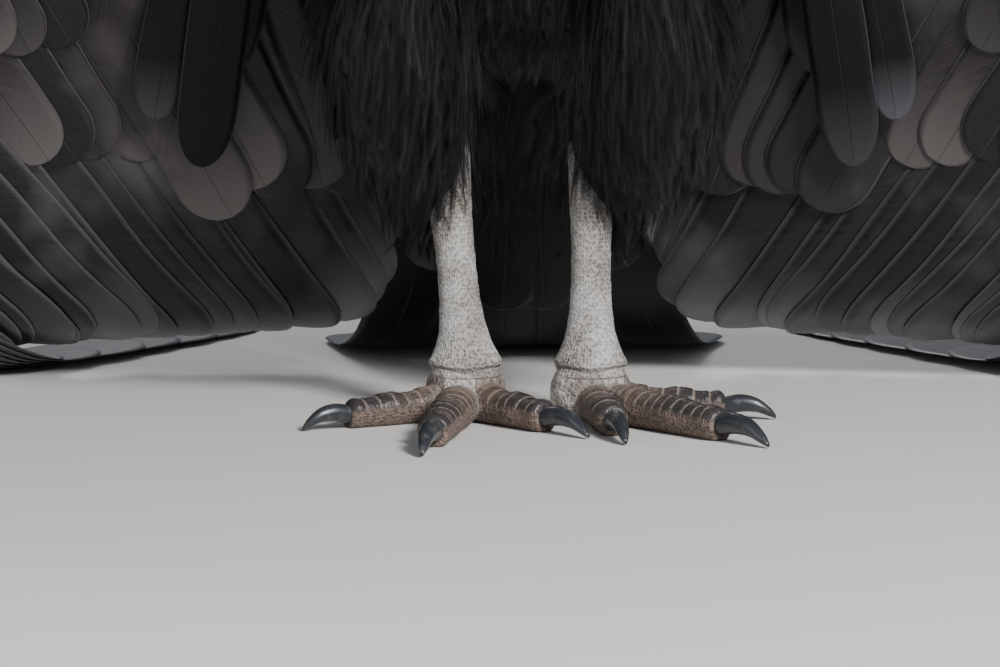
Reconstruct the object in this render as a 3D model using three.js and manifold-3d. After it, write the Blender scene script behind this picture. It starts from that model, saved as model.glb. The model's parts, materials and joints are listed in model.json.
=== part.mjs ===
// Andean condor, adult male, standing on level ground with its wings hung half open to the sun.
// Life size, in millimetres, +Z up. The bird faces -Y and its left side is +X.
// The floor is at Z = 0, under the soles of both feet.
import * as THREE from 'three';
import { mergeVertices } from 'three/addons/utils/BufferGeometryUtils.js';
import Module from 'manifold-3d';

const wasm = await Module();
wasm.setup();

// Driving sizes
const gap = 0.3; // left between two pieces that touch
const layer = 0.9; // from one feather's sheet to the next
const vaneThick = 0.6;
const tailLength = 350;
const wingYaw = 8; // degrees that the hanging wing is turned forwards at the wrist
const wingLean = 14; // degrees from the vertical at the top of the hanging wing
const elbow = { u: 290, s: 78 };
const wrist = { u: 640, s: 100 };
const handTip = { u: 528, s: 234 };
const secondaries = 13;
const primaries = 10;
const tertials = 3;
const handIndex = 17; // sheet of the first primary; the secondaries take 0 to 12
const soleToJoint = 30;
const legs = { left: { foot: 39, hock: 40 }, right: { foot: 35, hock: 47 } }; // out from the middle

const colours = {
  plumage: 0x111214, white: 0xd9d8d4, down: 0xece9e2, skin: 0x6b4a46, comb: 0x4a3436,
  horn: 0xd8cdb4, eye: 0x4a2a17, leg: 0xb9b4ae, toe: 0x6f625b, claw: 0x2b3036,
};

// Small helpers
const rad = THREE.MathUtils.degToRad;
const lerp = THREE.MathUtils.lerp;
const smooth = THREE.MathUtils.smoothstep;
const v = (x, y, z) => new THREE.Vector3(x, y, z);
const sides = [['left', 1], ['right', -1]];

let seed = 7;
function random(low, high) {
  seed = (seed * 16807) % 2147483647;
  return low + (high - low) * (seed / 2147483647);
}

// Solids from points and triangles, turned to face outwards
function solid(points, faces) {
  let volume = 0;
  for (const [a, b, c] of faces) volume += points[a].dot(v(0, 0, 0).crossVectors(points[b], points[c]));
  const facing = volume < 0 ? faces.map(([a, b, c]) => [a, c, b]) : faces;
  const geometry = new THREE.BufferGeometry().setFromPoints(points).setIndex(facing.flat());
  const merged = mergeVertices(geometry, 1e-4);
  return new wasm.Manifold(new wasm.Mesh({
    numProp: 3,
    vertProperties: merged.attributes.position.array,
    triVerts: new Uint32Array(merged.index.array),
  }));
}

const middleOf = (ring) => ring.reduce((sum, p) => sum.addScaledVector(p, 1 / ring.length), v(0, 0, 0));

// A skin over rings of equal count, with a fan of triangles at each end. Grow moves the ends out.
function loft(rings, grow = 0) {
  const count = rings[0].length;
  for (const [end, next] of [[0, 1], [rings.length - 1, rings.length - 2]]) {
    const out = middleOf(rings[end]).sub(middleOf(rings[next])).setLength(grow);
    rings[end] = rings[end].map((p) => p.clone().add(out));
  }
  const points = rings.flat();
  const faces = [];
  for (let i = 0; i + 1 < rings.length; i++)
    for (let j = 0; j < count; j++) {
      const a = i * count + j;
      const b = i * count + (j + 1) % count;
      faces.push([a, b, b + count], [a, b + count, a + count]);
    }
  for (const [start, turn] of [[0, 1], [(rings.length - 1) * count, 0]]) {
    const middle = points.length;
    points.push(middleOf(points.slice(start, start + count)));
    for (let j = 0; j < count; j++) {
      const a = start + j;
      const b = start + (j + 1) % count;
      faces.push(turn ? [middle, b, a] : [middle, a, b]);
    }
  }
  return solid(points, faces);
}

// An oval ring: wide along x by half, and along y by up or down
function oval(centre, x, y, half, up, down, count) {
  const ring = [];
  for (let j = 0; j < count; j++) {
    const angle = 2 * Math.PI * j / count;
    const rise = Math.sin(angle);
    ring.push(centre.clone()
      .addScaledVector(x, half * Math.cos(angle))
      .addScaledVector(y, (rise > 0 ? up : down) * rise));
  }
  return ring;
}

// Ovals square to a path in the plane of symmetry; sections hold [along, half width, upper, lower]
function bodyLoft(path, sections, count, grow = 0) {
  const curve = new THREE.CatmullRomCurve3(path);
  const x = v(1, 0, 0);
  return loft(sections.map(([along, half, up, down]) => {
    const tangent = curve.getTangentAt(along);
    const y = v(0, 0, 0).crossVectors(x, tangent).normalize();
    return oval(curve.getPointAt(along), x, y, half + grow, up + grow, down + grow, count);
  }), grow);
}

// Level ovals; sections hold [z, x, y, half width, half depth]
function levelLoft(side, sections, count, grow = 0) {
  return loft(sections.map(([z, x, y, half, deep]) =>
    oval(v(side * x, y, z), v(1, 0, 0), v(0, 1, 0), half + grow, deep + grow, deep + grow, count)), grow);
}

const join = (pieces) => wasm.Manifold.union(pieces);

function largest(piece) {
  return piece.decompose().sort((a, b) => b.volume() - a.volume())[0];
}

// A hanging sheet that leans back more and more as it nears the floor.
// u runs outwards, s down the sheet and h towards its underside. Its folds run along u, and
// all the feathers of a wing or tail lie in copies of it at different h, so none can cross.
class Sheet {
  constructor({ origin, yaw, side, start, leans, cup, cupAt }) {
    Object.assign(this, { origin, start, cup, cupAt });
    this.across = v(side * Math.cos(rad(yaw)), -Math.sin(rad(yaw)), 0);
    this.back = v(side * Math.sin(rad(yaw)), Math.cos(rad(yaw)), 0);
    this.folds = [start, ...leans.map(([end]) => end)];
    this.creases = this.folds.slice(1, -1);
    const directions = leans.map(([, lean]) => new THREE.Vector2(Math.sin(rad(lean)), -Math.cos(rad(lean))));
    const normals = directions.map((d) => new THREE.Vector2(d.y, -d.x));
    this.points = [directions[0].clone().multiplyScalar(start)];
    directions.forEach((d, i) =>
      this.points.push(this.points[i].clone().addScaledVector(d, this.folds[i + 1] - this.folds[i])));
    this.mitres = this.points.map((_, i) => {
      const before = normals[Math.max(i - 1, 0)];
      const after = normals[Math.min(i, normals.length - 1)];
      const middle = before.clone().add(after).normalize();
      return middle.divideScalar(middle.dot(after));
    });
  }

  place(u, s, h) {
    let i = 0;
    while (i < this.folds.length - 2 && s > this.folds[i + 1]) i++;
    const f = (s - this.folds[i]) / (this.folds[i + 1] - this.folds[i]);
    const from = this.points[i].clone().addScaledVector(this.mitres[i], h);
    const to = this.points[i + 1].clone().addScaledVector(this.mitres[i + 1], h);
    const at = from.lerp(to, f);
    const hollow = this.cup * (u - this.cupAt) ** 2;
    return this.origin.clone()
      .addScaledVector(this.across, u)
      .addScaledVector(this.back, at.x - hollow)
      .add(v(0, 0, at.y));
  }
}

const flightQuill = 0.3; // share of its full width that a feather has at its root
const covertQuill = 0.9;

// The flat outline of a feather on its sheet, as points [u, s] down one edge and up the other.
// Slope and bend are its course in degrees, and lead is the share of its width on the outer side.
function vaneOutline({ u, s, slope, bend = 0, length, width, lead = 0.5, flight = false }) {
  const steps = 28;
  const quill = flight ? flightQuill : covertQuill;
  const tip = flight ? 0.1 : 0.2;
  const trailing = [];
  const leading = [];
  for (let i = 0; i <= steps; i++) {
    const t = i / steps;
    const angle = rad(slope + bend * t);
    const round = t < 1 - tip ? 1 : Math.sqrt(Math.max(1 - ((t - 1 + tip) / tip) ** 2, 0));
    const full = width * lerp(quill, 1, smooth(t, 0, 0.3)) * round;
    const across = [Math.sin(angle), Math.cos(angle)];
    trailing.push([u - across[0] * full * (1 - lead), s - across[1] * full * (1 - lead)]);
    leading.push([u + across[0] * full * lead, s + across[1] * full * lead]);
    u -= Math.cos(angle) * length / steps;
    s += Math.sin(angle) * length / steps;
  }
  return [...trailing, ...leading.reverse()];
}

// Where a level line crosses an outline
function spanAt(outline, s) {
  const hits = [];
  outline.forEach(([u0, s0], i) => {
    const [u1, s1] = outline[(i + 1) % outline.length];
    if ((s0 <= s) !== (s1 <= s)) hits.push(lerp(u0, u1, (s - s0) / (s1 - s0)));
  });
  return [Math.min(...hits), Math.max(...hits)];
}

// One feather as a thin closed strip, cut across at the sheet's own folds
function vane(sheet, h, shape) {
  const outline = vaneOutline(shape);
  const low = Math.min(...outline.map((p) => p[1]));
  const high = Math.max(...outline.map((p) => p[1]));
  const w = shape.width;
  const root = w * (shape.flight ? flightQuill : covertQuill) * Math.abs(Math.cos(rad(shape.slope)));
  const wanted = [low + Math.max(0.5 * root, 1), ...(shape.flight ? [lerp(low, high, 0.3)] : []),
    high - 0.5 * w, ...(shape.flight ? [] : [high - 0.15 * w]), high - 0.8, ...sheet.creases];
  const levels = wanted
    .filter((s) => s > low + 0.5 && s < high - 0.5)
    .sort((a, b) => a - b)
    .filter((s, i, all) => i === 0 || s - all[i - 1] > 1.2 || sheet.creases.includes(s));
  const points = [];
  for (const s of levels) {
    const [inner, outer] = spanAt(outline, s);
    points.push(sheet.place(inner, s, h + vaneThick / 2), sheet.place(outer, s, h + vaneThick / 2),
      sheet.place(outer, s, h - vaneThick / 2), sheet.place(inner, s, h - vaneThick / 2));
  }
  const faces = [[0, 2, 1], [0, 3, 2]];
  for (let i = 0; i + 1 < levels.length; i++) {
    const [a, b, c, d] = [0, 1, 2, 3].map((j) => 4 * i + j);
    faces.push([a, b, b + 4], [a, b + 4, a + 4], [b, c, c + 4], [b, c + 4, b + 4],
      [c, d, c + 4], [d, d + 4, c + 4], [d, a, a + 4], [d, a + 4, d + 4]);
  }
  const end = points.length - 4;
  faces.push([end, end + 1, end + 2], [end, end + 2, end + 3]);
  return solid(points, faces);
}

// A row of feathers: count of them, each placed by a function of 0 to 1 along the row
function row(sheet, count, describe) {
  return Array.from({ length: count }, (_, i) => {
    const { h, ...shape } = describe(count > 1 ? i / (count - 1) : 0, i);
    return vane(sheet, h, shape);
  });
}

// Torso, thighs, tarsi
const torsoPath = [v(0, 125, 205), v(0, 66, 268), v(0, -30, 385), v(0, -118, 490), v(0, -172, 562)];
const torsoSections = [
  // along, half width, upper, lower
  [0, 46, 36, 42], [0.1, 78, 60, 84], [0.24, 110, 90, 112], [0.38, 130, 108, 124], [0.52, 138, 118, 130],
  [0.66, 138, 118, 130], [0.8, 124, 106, 116], [0.91, 100, 86, 92], [1, 72, 64, 66],
];
const torso = (grow = 0) => bodyLoft(torsoPath, torsoSections, 20, grow);

const thighSections = [
  [124, 62, 30, 20, 18], [134, 64, 25, 34, 31], [156, 68, 14, 45, 44], [196, 74, -2, 55, 58],
  [246, 76, -22, 60, 72], [310, 70, -42, 50, 66],
];
const thigh = (side, grow = 0) => levelLoft(side, thighSections, 14, grow);

// The bare shank: height, share of the way to the hock, distance back, half width and half depth
const shank = [
  [soleToJoint + gap, 0, -2, 22, 18], [38, 0, 0, 19, 17], [50, 0.1, 6, 14.5, 15],
  [70, 0.3, 15, 11.8, 13.5], [98, 0.55, 27, 11.6, 13.5], [124, 0.8, 36, 13.2, 15], [154, 1, 42, 14.5, 16],
];
const tarsus = (side, { foot, hock }) => levelLoft(side,
  shank.map(([z, share, back, half, deep]) => [z, lerp(foot, hock, share), back, half, deep]), 12);

// Feet: a pad under the joint and four toes, with plates across the top of each
const padBack = -3;
const padSections = [[0, 19, 18], [7, 23, 22], [16, 24, 22], [soleToJoint, 22, 19]];
const footPad = (side, x) =>
  levelLoft(side, padSections.map(([z, half, deep]) => [z, x, padBack, half, deep]), 12);
const toeShapes = [
  // digit, length from the middle of the pad, radius at the root and end, claw length, plates
  { digit: 1, length: 42, root: 10.5, end: 8.5, claw: 26, plates: 1 },
  { digit: 2, length: 74, root: 12, end: 9.5, claw: 38, plates: 3 },
  { digit: 3, length: 118, root: 13, end: 10, claw: 41, plates: 5 },
  { digit: 4, length: 80, root: 11.5, end: 8.5, claw: 30, plates: 3 },
];
const toeHeadings = { left: [195, 10, 40, 86], right: [165, 40, -9, -60] }; // degrees from straight ahead

// A ring square to a heading over the floor, flattened where it would sink below it
function floorRing(centre, along, half, up, count) {
  const across = v(along.y, -along.x, 0);
  return oval(centre, across, v(0, 0, 1), half, up, half, count).map((p) => p.setZ(Math.max(p.z, 0)));
}

function headingVector(degrees) {
  return v(Math.sin(rad(degrees)), -Math.cos(rad(degrees)), 0);
}

function toe(start, along, shape) {
  const rings = [];
  const plain = 3; // rings before the plates start
  const stations = plain + 2 * shape.plates;
  for (let i = 0; i <= stations; i++) {
    const t = i < plain ? 0.42 * i / plain : lerp(0.42, 1, (i - plain) / (stations - plain));
    const knuckle = 1 + 0.05 * Math.cos(2 * Math.PI * 3 * t);
    const radius = i < stations ? lerp(shape.root, shape.end, t) * knuckle : 0.76 * shape.end;
    const plate = i >= plain && i < stations && (i - plain) % 2 === 0 ? 1.6 : 0;
    const centre = start.clone().addScaledVector(along, shape.length * t).setZ(radius * 0.88);
    rings.push(floorRing(centre, along, radius, radius + plate, 7));
  }
  return loft(rings);
}

function claw(start, along, shape) {
  const curve = [[0, 8.6, 6.4], [0.3, 10.6, 6], [0.62, 9.4, 4.9], [0.87, 5.2, 3.2], [1, 2, 1.3]];
  const scale = shape.end / 9.5;
  return loft(curve.map(([t, z, radius]) => {
    const centre = start.clone()
      .addScaledVector(along, shape.length + gap + shape.claw * t)
      .setZ(z * scale);
    return floorRing(centre, along, radius * scale, radius * scale, 6);
  }));
}

// Head, neck and their fleshy parts
const neckPath = [v(0, -172, 562), v(0, -204, 596), v(0, -240, 650), v(0, -250, 706), v(0, -248, 754), v(0, -262, 790)];
const ruffShare = 0.15; // of the neck's path, below the bare skin
const headCentre = v(0, -280, 802);
const headPitch = 10;
const headAlong = v(0, -Math.cos(rad(headPitch)), -Math.sin(rad(headPitch)));
const headUp = v(0, -Math.sin(rad(headPitch)), Math.cos(rad(headPitch)));
const headAt = (x, forward, up) =>
  headCentre.clone().add(v(x, 0, 0)).addScaledVector(headAlong, forward).addScaledVector(headUp, up);
const sectionsAlongHead = (sections, count, grow = 0) => loft(sections.map(([forward, up, half, high, low]) =>
  oval(headAt(0, forward, up), v(1, 0, 0), headUp, half + grow, high + grow, low + grow, count)), grow);

const skullSections = [
  // forward, rise of the middle, half width, upper, lower
  [-56, -2, 8, 8, 8], [-50, 0, 19, 17, 18], [-36, 1, 28, 26, 30], [-16, 2, 33, 31, 37], [2, 2, 33, 30, 35],
  [18, 0, 29, 26, 29], [32, -3, 22, 21, 22], [46, -5, 18, 18, 18], [58, -6, 16.5, 17, 16],
];
const skull = (grow = 0) => sectionsAlongHead(skullSections, 16, grow);
const faceFront = 58;
const eyeAt = { forward: 14, up: 5, out: 21, radius: 9.5 };

function neckSections() {
  const folds = 8;
  const sections = [];
  for (let i = 0; i <= 2 * folds; i++) {
    const t = i / (2 * folds);
    const radius = lerp(48, 34, smooth(t, 0, 0.55)) + (i % 2 ? 1.8 : -1.4);
    sections.push([lerp(ruffShare, 0.86, t), radius, radius, radius * 1.06]);
  }
  return [...sections, [0.94, 29, 29, 30], [1, 20, 20, 20]];
}
const neckSolid = (grow = 0) => bodyLoft(neckPath, neckSections(), 11, grow);

// A dome pressed into or raised from a surface
function ball(centre, radii, count = 8) {
  const geometry = new THREE.SphereGeometry(1, count, Math.ceil(count / 2) + 1);
  geometry.deleteAttribute('normal');
  geometry.deleteAttribute('uv');
  geometry.scale(radii.x, radii.y, radii.z).translate(centre.x, centre.y, centre.z);
  const merged = mergeVertices(geometry, 1e-4);
  return new wasm.Manifold(new wasm.Mesh({
    numProp: 3,
    vertProperties: merged.attributes.position.array,
    triVerts: new Uint32Array(merged.index.array),
  }));
}

// The rim of an eyelid: a slim ring round the eye, facing sideways and a little forwards
function lid(side) {
  const centre = headAt(side * (eyeAt.out + 6.6), eyeAt.forward + 0.5, eyeAt.up);
  const out = v(side, -0.28, 0.05).normalize();
  const a = v(0, 0, 0).crossVectors(out, v(0, 0, 1)).normalize();
  const b = v(0, 0, 0).crossVectors(a, out);
  const around = 8;
  const rings = 4;
  const points = [];
  const faces = [];
  for (let i = 0; i < around; i++) {
    const angle = 2 * Math.PI * i / around;
    const radial = a.clone().multiplyScalar(Math.cos(angle)).addScaledVector(b, Math.sin(angle) * 0.88);
    for (let j = 0; j < rings; j++) {
      const turn = 2 * Math.PI * j / rings;
      points.push(centre.clone()
        .addScaledVector(radial, 8.8 + 2.6 * Math.cos(turn))
        .addScaledVector(out, 2.4 * Math.sin(turn)));
      const [c, d] = [i * rings + j, i * rings + (j + 1) % rings];
      const [e, f] = [(c + rings) % (around * rings), (d + rings) % (around * rings)];
      faces.push([c, d, f], [c, f, e]);
    }
  }
  return solid(points, faces);
}

function headNode() {
  const mouthHalf = 0.7;
  const mouth = loft([[16, -10], [70, -9]].map(([forward, up]) => [
    headAt(-40, forward, up + mouthHalf), headAt(40, forward, up + mouthHalf),
    headAt(40, forward, up - mouthHalf), headAt(-40, forward, up - mouthHalf)]));
  const nostril = loft([-40, 40].map((x) => oval(headAt(x, 47, 2), headAlong, headUp, 5.5, 2.2, 2.2, 8)));
  let head = join([skull(), lid(1), lid(-1)]);
  for (const side of [1, -1]) {
    head = head.subtract(eyeBall(side, gap));
    head = head.subtract(ball(headAt(side * 32, -22, -8), v(7, 5.5, 6.5)));
  }
  return head.subtract(mouth).subtract(nostril).subtract(neckSolid(gap));
}

function eyeBall(side, grow = 0) {
  const r = eyeAt.radius + grow;
  return ball(headAt(side * eyeAt.out, eyeAt.forward, eyeAt.up), v(r, r, r), 10);
}

// The fleshy crest stands from the crown to the front of the face, with a lobed edge
function comb() {
  const lobes = [
    // forward, rise of the middle, half width, height above it
    [-24, 22, 2.5, 8], [-12, 25, 6, 20], [0, 25, 7, 21], [12, 23, 8, 28], [24, 19, 8, 31],
    [36, 13, 7.5, 37], [48, 10, 7.5, 38], [60, 8.5, 6, 33], [66, 9.5, 2.5, 20],
  ];
  return sectionsAlongHead(lobes.map(([forward, up, half, high]) => [forward, up, half, high, 8]), 8);
}

function wattle() {
  const hang = [[0, 13, 9], [14, 12, 8], [28, 9, 6.5], [38, 6, 4.5], [44, 2.5, 2]];
  return loft(hang.map(([drop, long, half]) =>
    oval(headAt(0, 30 - drop * 0.2, -19 - drop), v(1, 0, 0), headAlong, half, long, long, 8)));
}

function upperBill(grow = 0) {
  const hook = [
    [faceFront + gap, 0, 15.5, 12, 7.5], [70, 0, 14, 12, 8], [84, -1, 12, 11.5, 8],
    [95, -5, 9.5, 10, 8], [102, -12, 7, 8.5, 7.5], [105, -20, 4, 5, 7], [105.5, -27, 1.5, 1.5, 3],
  ];
  return sectionsAlongHead(hook, 12, grow);
}

function lowerBill() {
  const scoop = [
    [faceFront + gap, -14, 12.5, 4.8, 6.5], [72, -14, 11, 4.8, 6.5], [83, -14.2, 8.5, 3.6, 5.5],
    [89, -14.8, 5, 2.4, 3.5], [92.5, -15.4, 2, 1.2, 1.5],
  ];
  return sectionsAlongHead(scoop, 10);
}

// The white ruff: a short barrel under the bare neck, ringed by tiers of locks of down that
// spread outwards and curl over, with the tip of one lock over the roots of the next
function ruff() {
  const curve = new THREE.CatmullRomCurve3(neckPath);
  const start = gap / curve.getLength();
  const core = bodyLoft(neckPath, [
    [start, 72, 64, 66], [0.06, 78, 70, 72], [ruffShare - start, 55, 50, 55]], 16);
  const tiers = [
    // share of the neck's path, locks, reach, drop at the tip, half width
    { at: 0.035, count: 14, reach: 46, drop: -26, half: 24 },
    { at: 0.1, count: 11, reach: 42, drop: -8, half: 23 },
  ];
  const locks = [];
  for (const { at, count, reach, drop, half } of tiers) {
    const centre = curve.getPointAt(at);
    const along = curve.getTangentAt(at);
    const y = v(0, 0, 0).crossVectors(v(1, 0, 0), along).normalize();
    for (let i = 0; i < count; i++) {
      const angle = 2 * Math.PI * (i + random(0.35, 0.65)) / count;
      const out = v(Math.cos(angle), 0, 0).addScaledVector(y, Math.sin(angle));
      const across = v(0, 0, 0).crossVectors(along, out);
      const long = reach * random(0.85, 1.1);
      const sag = drop + random(-4, 4);
      const stations = [[0, 0, 0.8, 5], [0.6, 0.35, 1, 6], [1, 1, 0.15, 1.2]];
      locks.push(loft(stations.map(([t, down, wide, thick]) => {
        const point = centre.clone().addScaledVector(out, 50 + long * t).addScaledVector(along, sag * down);
        return [[1, -0.4], [0, 1], [-1, -0.4]].map(([a, b]) =>
          point.clone().addScaledVector(across, a * half * wide).addScaledVector(along, b * thick));
      })));
    }
  }
  return join([core, ...locks]).subtract(torso(gap)).subtract(neckSolid(gap));
}

// Wings
const wingSheet = (side) => new Sheet({
  side,
  origin: v(0, 70, 386),
  yaw: wingYaw,
  start: -200,
  leans: [[300, wingLean], [355, 34], [400, 60], [760, 90]],
  cup: 1.2e-4,
  cupAt: 330,
});
const boneAt = (f) => ({ u: lerp(elbow.u, wrist.u, f), s: lerp(elbow.s, wrist.s, f) });
const handAt = (f) => ({ u: lerp(wrist.u, handTip.u, f), s: lerp(wrist.s, handTip.s, f) });
const upperArmAt = (f) => ({ u: lerp(elbow.u, 190, f), s: lerp(elbow.s, -4, f) });

// A wing's arm in section: round over the bone behind, thinning to the edge of the skin in front
function armRing(front, bone, radius, grow) {
  const chord = bone.clone().sub(front);
  const long = chord.length();
  chord.normalize();
  const normal = v(0, 0, 0).crossVectors(chord, v(1, 0, 0)).normalize();
  // along the chord, off it, and how far a grown copy moves along the chord
  const ring = [[-0.02 * long, 0, -1], [0.3 * long, 0.68 * radius, 0]];
  for (const degrees of [75, 25, -25, -75])
    ring.push([long + radius * Math.cos(rad(degrees)), radius * Math.sin(rad(degrees)), Math.cos(rad(degrees))]);
  ring.push([0.3 * long, -0.68 * radius, 0]);
  return ring.map(([c, t, ahead]) => front.clone()
    .addScaledVector(chord, c + grow * ahead)
    .addScaledVector(normal, t + grow * Math.sign(t)));
}

const armStations = (side, sheet) => [
  // how far along u, front edge, bone behind, radius over the bone
  { u: 70, front: v(side * 70, -140, 500), bone: v(side * 70, -40, 452), radius: 24 },
  { u: 140, front: v(side * 138, -146, 494), bone: sheet.place(140, -38, 10), radius: 26 },
  { u: 210, front: v(side * 210, -132, 468), bone: sheet.place(212, 14, 6), radius: 25 },
  { u: elbow.u, front: v(side * 288, -112, 438), bone: sheet.place(elbow.u, elbow.s, 2), radius: 24 },
  { u: 400, front: v(side * 400, -98, 404), bone: sheet.place(400, elbow.s + 7, 8), radius: 20 },
  { u: 520, front: v(side * 520, -78, 366), bone: sheet.place(520, elbow.s + 14, 14), radius: 18 },
  { u: wrist.u, front: v(side * 634, -48, 326), bone: sheet.place(wrist.u, wrist.s, 20), radius: 16 },
];

// The stretch of the arm between two stations; shift moves the cut at the elbow
function armPart(side, sheet, from, to, shift, grow = 0) {
  const chosen = armStations(side, sheet).filter(({ u }) => u >= from && u <= to);
  return loft(chosen.map(({ u, front, bone, radius }) => {
    const step = v(u === elbow.u ? side * shift : 0, 0, 0);
    return armRing(front.clone().add(step), bone.clone().add(step), radius, grow);
  }), grow);
}

function handCore(sheet, grow = 0) {
  const sections = [
    // share of the way to its tip, half width, half thickness, rise towards the underside
    [-0.14, 8, 12, 28], [-0.03, 18, 24, 24], [0.25, 18, 17, 14], [1.04, 9, 8, 4],
  ];
  const across = new THREE.Vector2(handTip.s - wrist.s, wrist.u - handTip.u).normalize();
  return loft(sections.map(([t, wide, thick, rise]) => {
    const { u, s } = handAt(t);
    const h = (handIndex + (primaries - 1) * Math.max(t, 0)) * layer + rise;
    return Array.from({ length: 6 }, (_, j) => {
      const angle = 2 * Math.PI * (j + 0.5) / 6;
      const off = (wide + grow) * Math.cos(angle);
      return sheet.place(u + across.x * off, s + across.y * off, h + (thick + grow) * Math.sin(angle));
    });
  }), grow);
}

// The innermost feathers, on the upper arm
function upperArmFeathers(sheet) {
  const flights = row(sheet, tertials, (f, i) => ({
    ...upperArmAt(lerp(0.2, 0.8, f)), h: -layer * (i + 1), slope: lerp(60, 68, f),
    length: lerp(370, 335, f), width: 58, lead: 0.45, flight: true,
  }));
  const under = row(sheet, 6, (f, i) => ({
    ...upperArmAt(lerp(0.05, 1.3, f)), h: 3.8 - layer * i, slope: lerp(60, 78, f ** 2),
    length: lerp(240, 325, Math.sin(Math.PI * Math.min(f, 0.6))) + random(-8, 8), width: 46,
  }));
  const over = row(sheet, 6, (f, i) => ({
    ...upperArmAt(lerp(0.02, 1.2, f)), h: -7 - layer * i, slope: lerp(62, 80, f),
    length: lerp(190, 245, f) + random(-8, 8), width: 70,
  }));
  const plumes = row(sheet, 2, (f, i) => ({
    ...upperArmAt(lerp(0.68, 0.98, f)), h: 15 + 4 * i, slope: lerp(94, 91, f),
    length: lerp(212, 250, f), width: 29,
  }));
  return [...flights, ...under, ...over, ...plumes];
}

function forearmFeathers(sheet) {
  const flights = row(sheet, secondaries, (f, i) => ({
    ...boneAt(lerp(0.085, 0.92, f)), h: layer * i, slope: lerp(59, 47, f) + random(-0.8, 0.8), bend: -2,
    length: lerp(385, 420, f) + random(-9, 9), width: lerp(54, 50, f), lead: 0.42, flight: true,
  }));
  const under = row(sheet, 8, (f, i) => ({
    ...boneAt(lerp(0.085, 0.9, f)), h: layer * 1.3 * i + 5, slope: lerp(60, 49, f) + random(-1, 1),
    length: lerp(150, 214, (1 - f) ** 3) + random(-6, 6), width: 56,
  }));
  const underMiddle = row(sheet, 4, (f, i) => ({
    ...boneAt(lerp(0.1, 0.7, f)), h: layer * 1.8 * i + 10, slope: lerp(62, 54, f) + random(-2, 2),
    length: lerp(112, 84, f), width: 62,
  }));
  const over = row(sheet, 8, (f, i) => ({
    ...boneAt(lerp(0.085, 0.9, f)), h: layer * 1.6 * i - 4.5, slope: lerp(58, 48, f) + random(-1, 1),
    length: lerp(180, 150, f) + random(-6, 6), width: 58,
  }));
  const overMiddle = row(sheet, 4, (f, i) => ({
    ...boneAt(lerp(0.1, 0.88, f)), h: layer * 4.3 * i - 9.6, slope: lerp(60, 52, f) + random(-2, 2),
    length: lerp(104, 88, f), width: 76,
  }));
  return [...flights, ...under, ...underMiddle, ...over, ...overMiddle];
}

function handFeathers(sheet) {
  const lengths = [452, 478, 504, 530, 552, 572, 584, 584, 570, 540];
  const flights = row(sheet, primaries, (f, i) => ({
    ...handAt(lerp(0.06, 0.97, f)), h: layer * (handIndex + i), slope: lerp(42, 48, f), bend: lerp(0, -8, f),
    length: lengths[i] + random(-6, 6), width: lerp(52, 46, f), lead: lerp(0.4, 0.3, f), flight: true,
  }));
  const under = row(sheet, 4, (f, i) => ({
    ...handAt(lerp(0.05, 0.95, f)), h: layer * (handIndex + 2.8 * i) + 6, slope: lerp(43, 49, f),
    length: lerp(150, 190, f) + random(-6, 6), width: 54,
  }));
  const over = row(sheet, 3, (f, i) => ({
    ...handAt(lerp(0.5, 0.95, f)), h: layer * (handIndex + 4.5 + 1.5 * i) - 4, slope: lerp(46, 49, f),
    length: 150 + random(-6, 6), width: 42,
  }));
  const alula = row(sheet, 3, (f, i) => ({
    ...handAt(lerp(0.03, 0.2, f)), h: layer * handIndex + 17 - 3 * i, slope: 57,
    length: lerp(150, 118, f), width: 27,
  }));
  return [...flights, ...under, ...over, ...alula];
}

// Tail
const tailLean = 26;
const tailSheet = () => new Sheet({
  side: 1, origin: v(0, 122, 206), yaw: 0, start: -80,
  leans: [[165, tailLean], [215, 50], [255, 74], [500, 90]], cup: 0, cupAt: 0,
});

function tailCore(sheet, grow = 0) {
  const sections = [[-40, 36, 28, 0], [20, 46, 29, 2], [80, 42, 17, 4], [110, 30, 8, 5]];
  return loft(sections.map(([s, wide, thick, h]) => Array.from({ length: 10 }, (_, j) => {
    const angle = 2 * Math.PI * j / 10;
    return sheet.place((wide + grow) * Math.cos(angle), s, h + 4 + (thick + grow) * Math.sin(angle));
  })), grow);
}

function tail() {
  const sheet = tailSheet();
  const pieces = [tailCore(sheet)];
  const pairs = 6;
  for (const [, side] of sides)
    for (let i = 0; i < pairs; i++) {
      const fan = lerp(1.6, 14, i / (pairs - 1));
      pieces.push(vane(sheet, layer * (2 * i + (side > 0 ? 0 : 1)), {
        u: side * lerp(4, 34, i / (pairs - 1)), s: 28, slope: 90 + side * fan,
        length: tailLength - 28 - 4 * i, width: 46, flight: true,
      }));
    }
  for (const [h, length, count] of [[-8, 150, 3], [18, 176, 3]])
    pieces.push(...row(sheet, count, (f, i) => ({
      h: h + (h > 0 ? -layer : layer) * Math.abs(2 * i - count + 1.2), u: lerp(-25, 25, f), s: 8,
      slope: 90 + lerp(-13, 13, f), length: length - 60 * Math.abs(f - 0.5), width: 54,
    })));
  return join(pieces).subtract(torso(gap));
}

// The nodes
const bird = new THREE.Group();

function add(name, piece, colour, roughness = 0.7) {
  const { vertProperties, triVerts, numProp } = largest(piece).getMesh();
  const geometry = new THREE.BufferGeometry();
  geometry.setAttribute('position', new THREE.BufferAttribute(new Float32Array(vertProperties), numProp));
  geometry.setIndex(new THREE.BufferAttribute(new Uint32Array(triVerts), 1));
  geometry.computeVertexNormals();
  const material = new THREE.MeshStandardMaterial({ color: colour, roughness, metalness: 0 });
  const mesh = new THREE.Mesh(geometry, material);
  mesh.name = name;
  bird.add(mesh);
}

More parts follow.
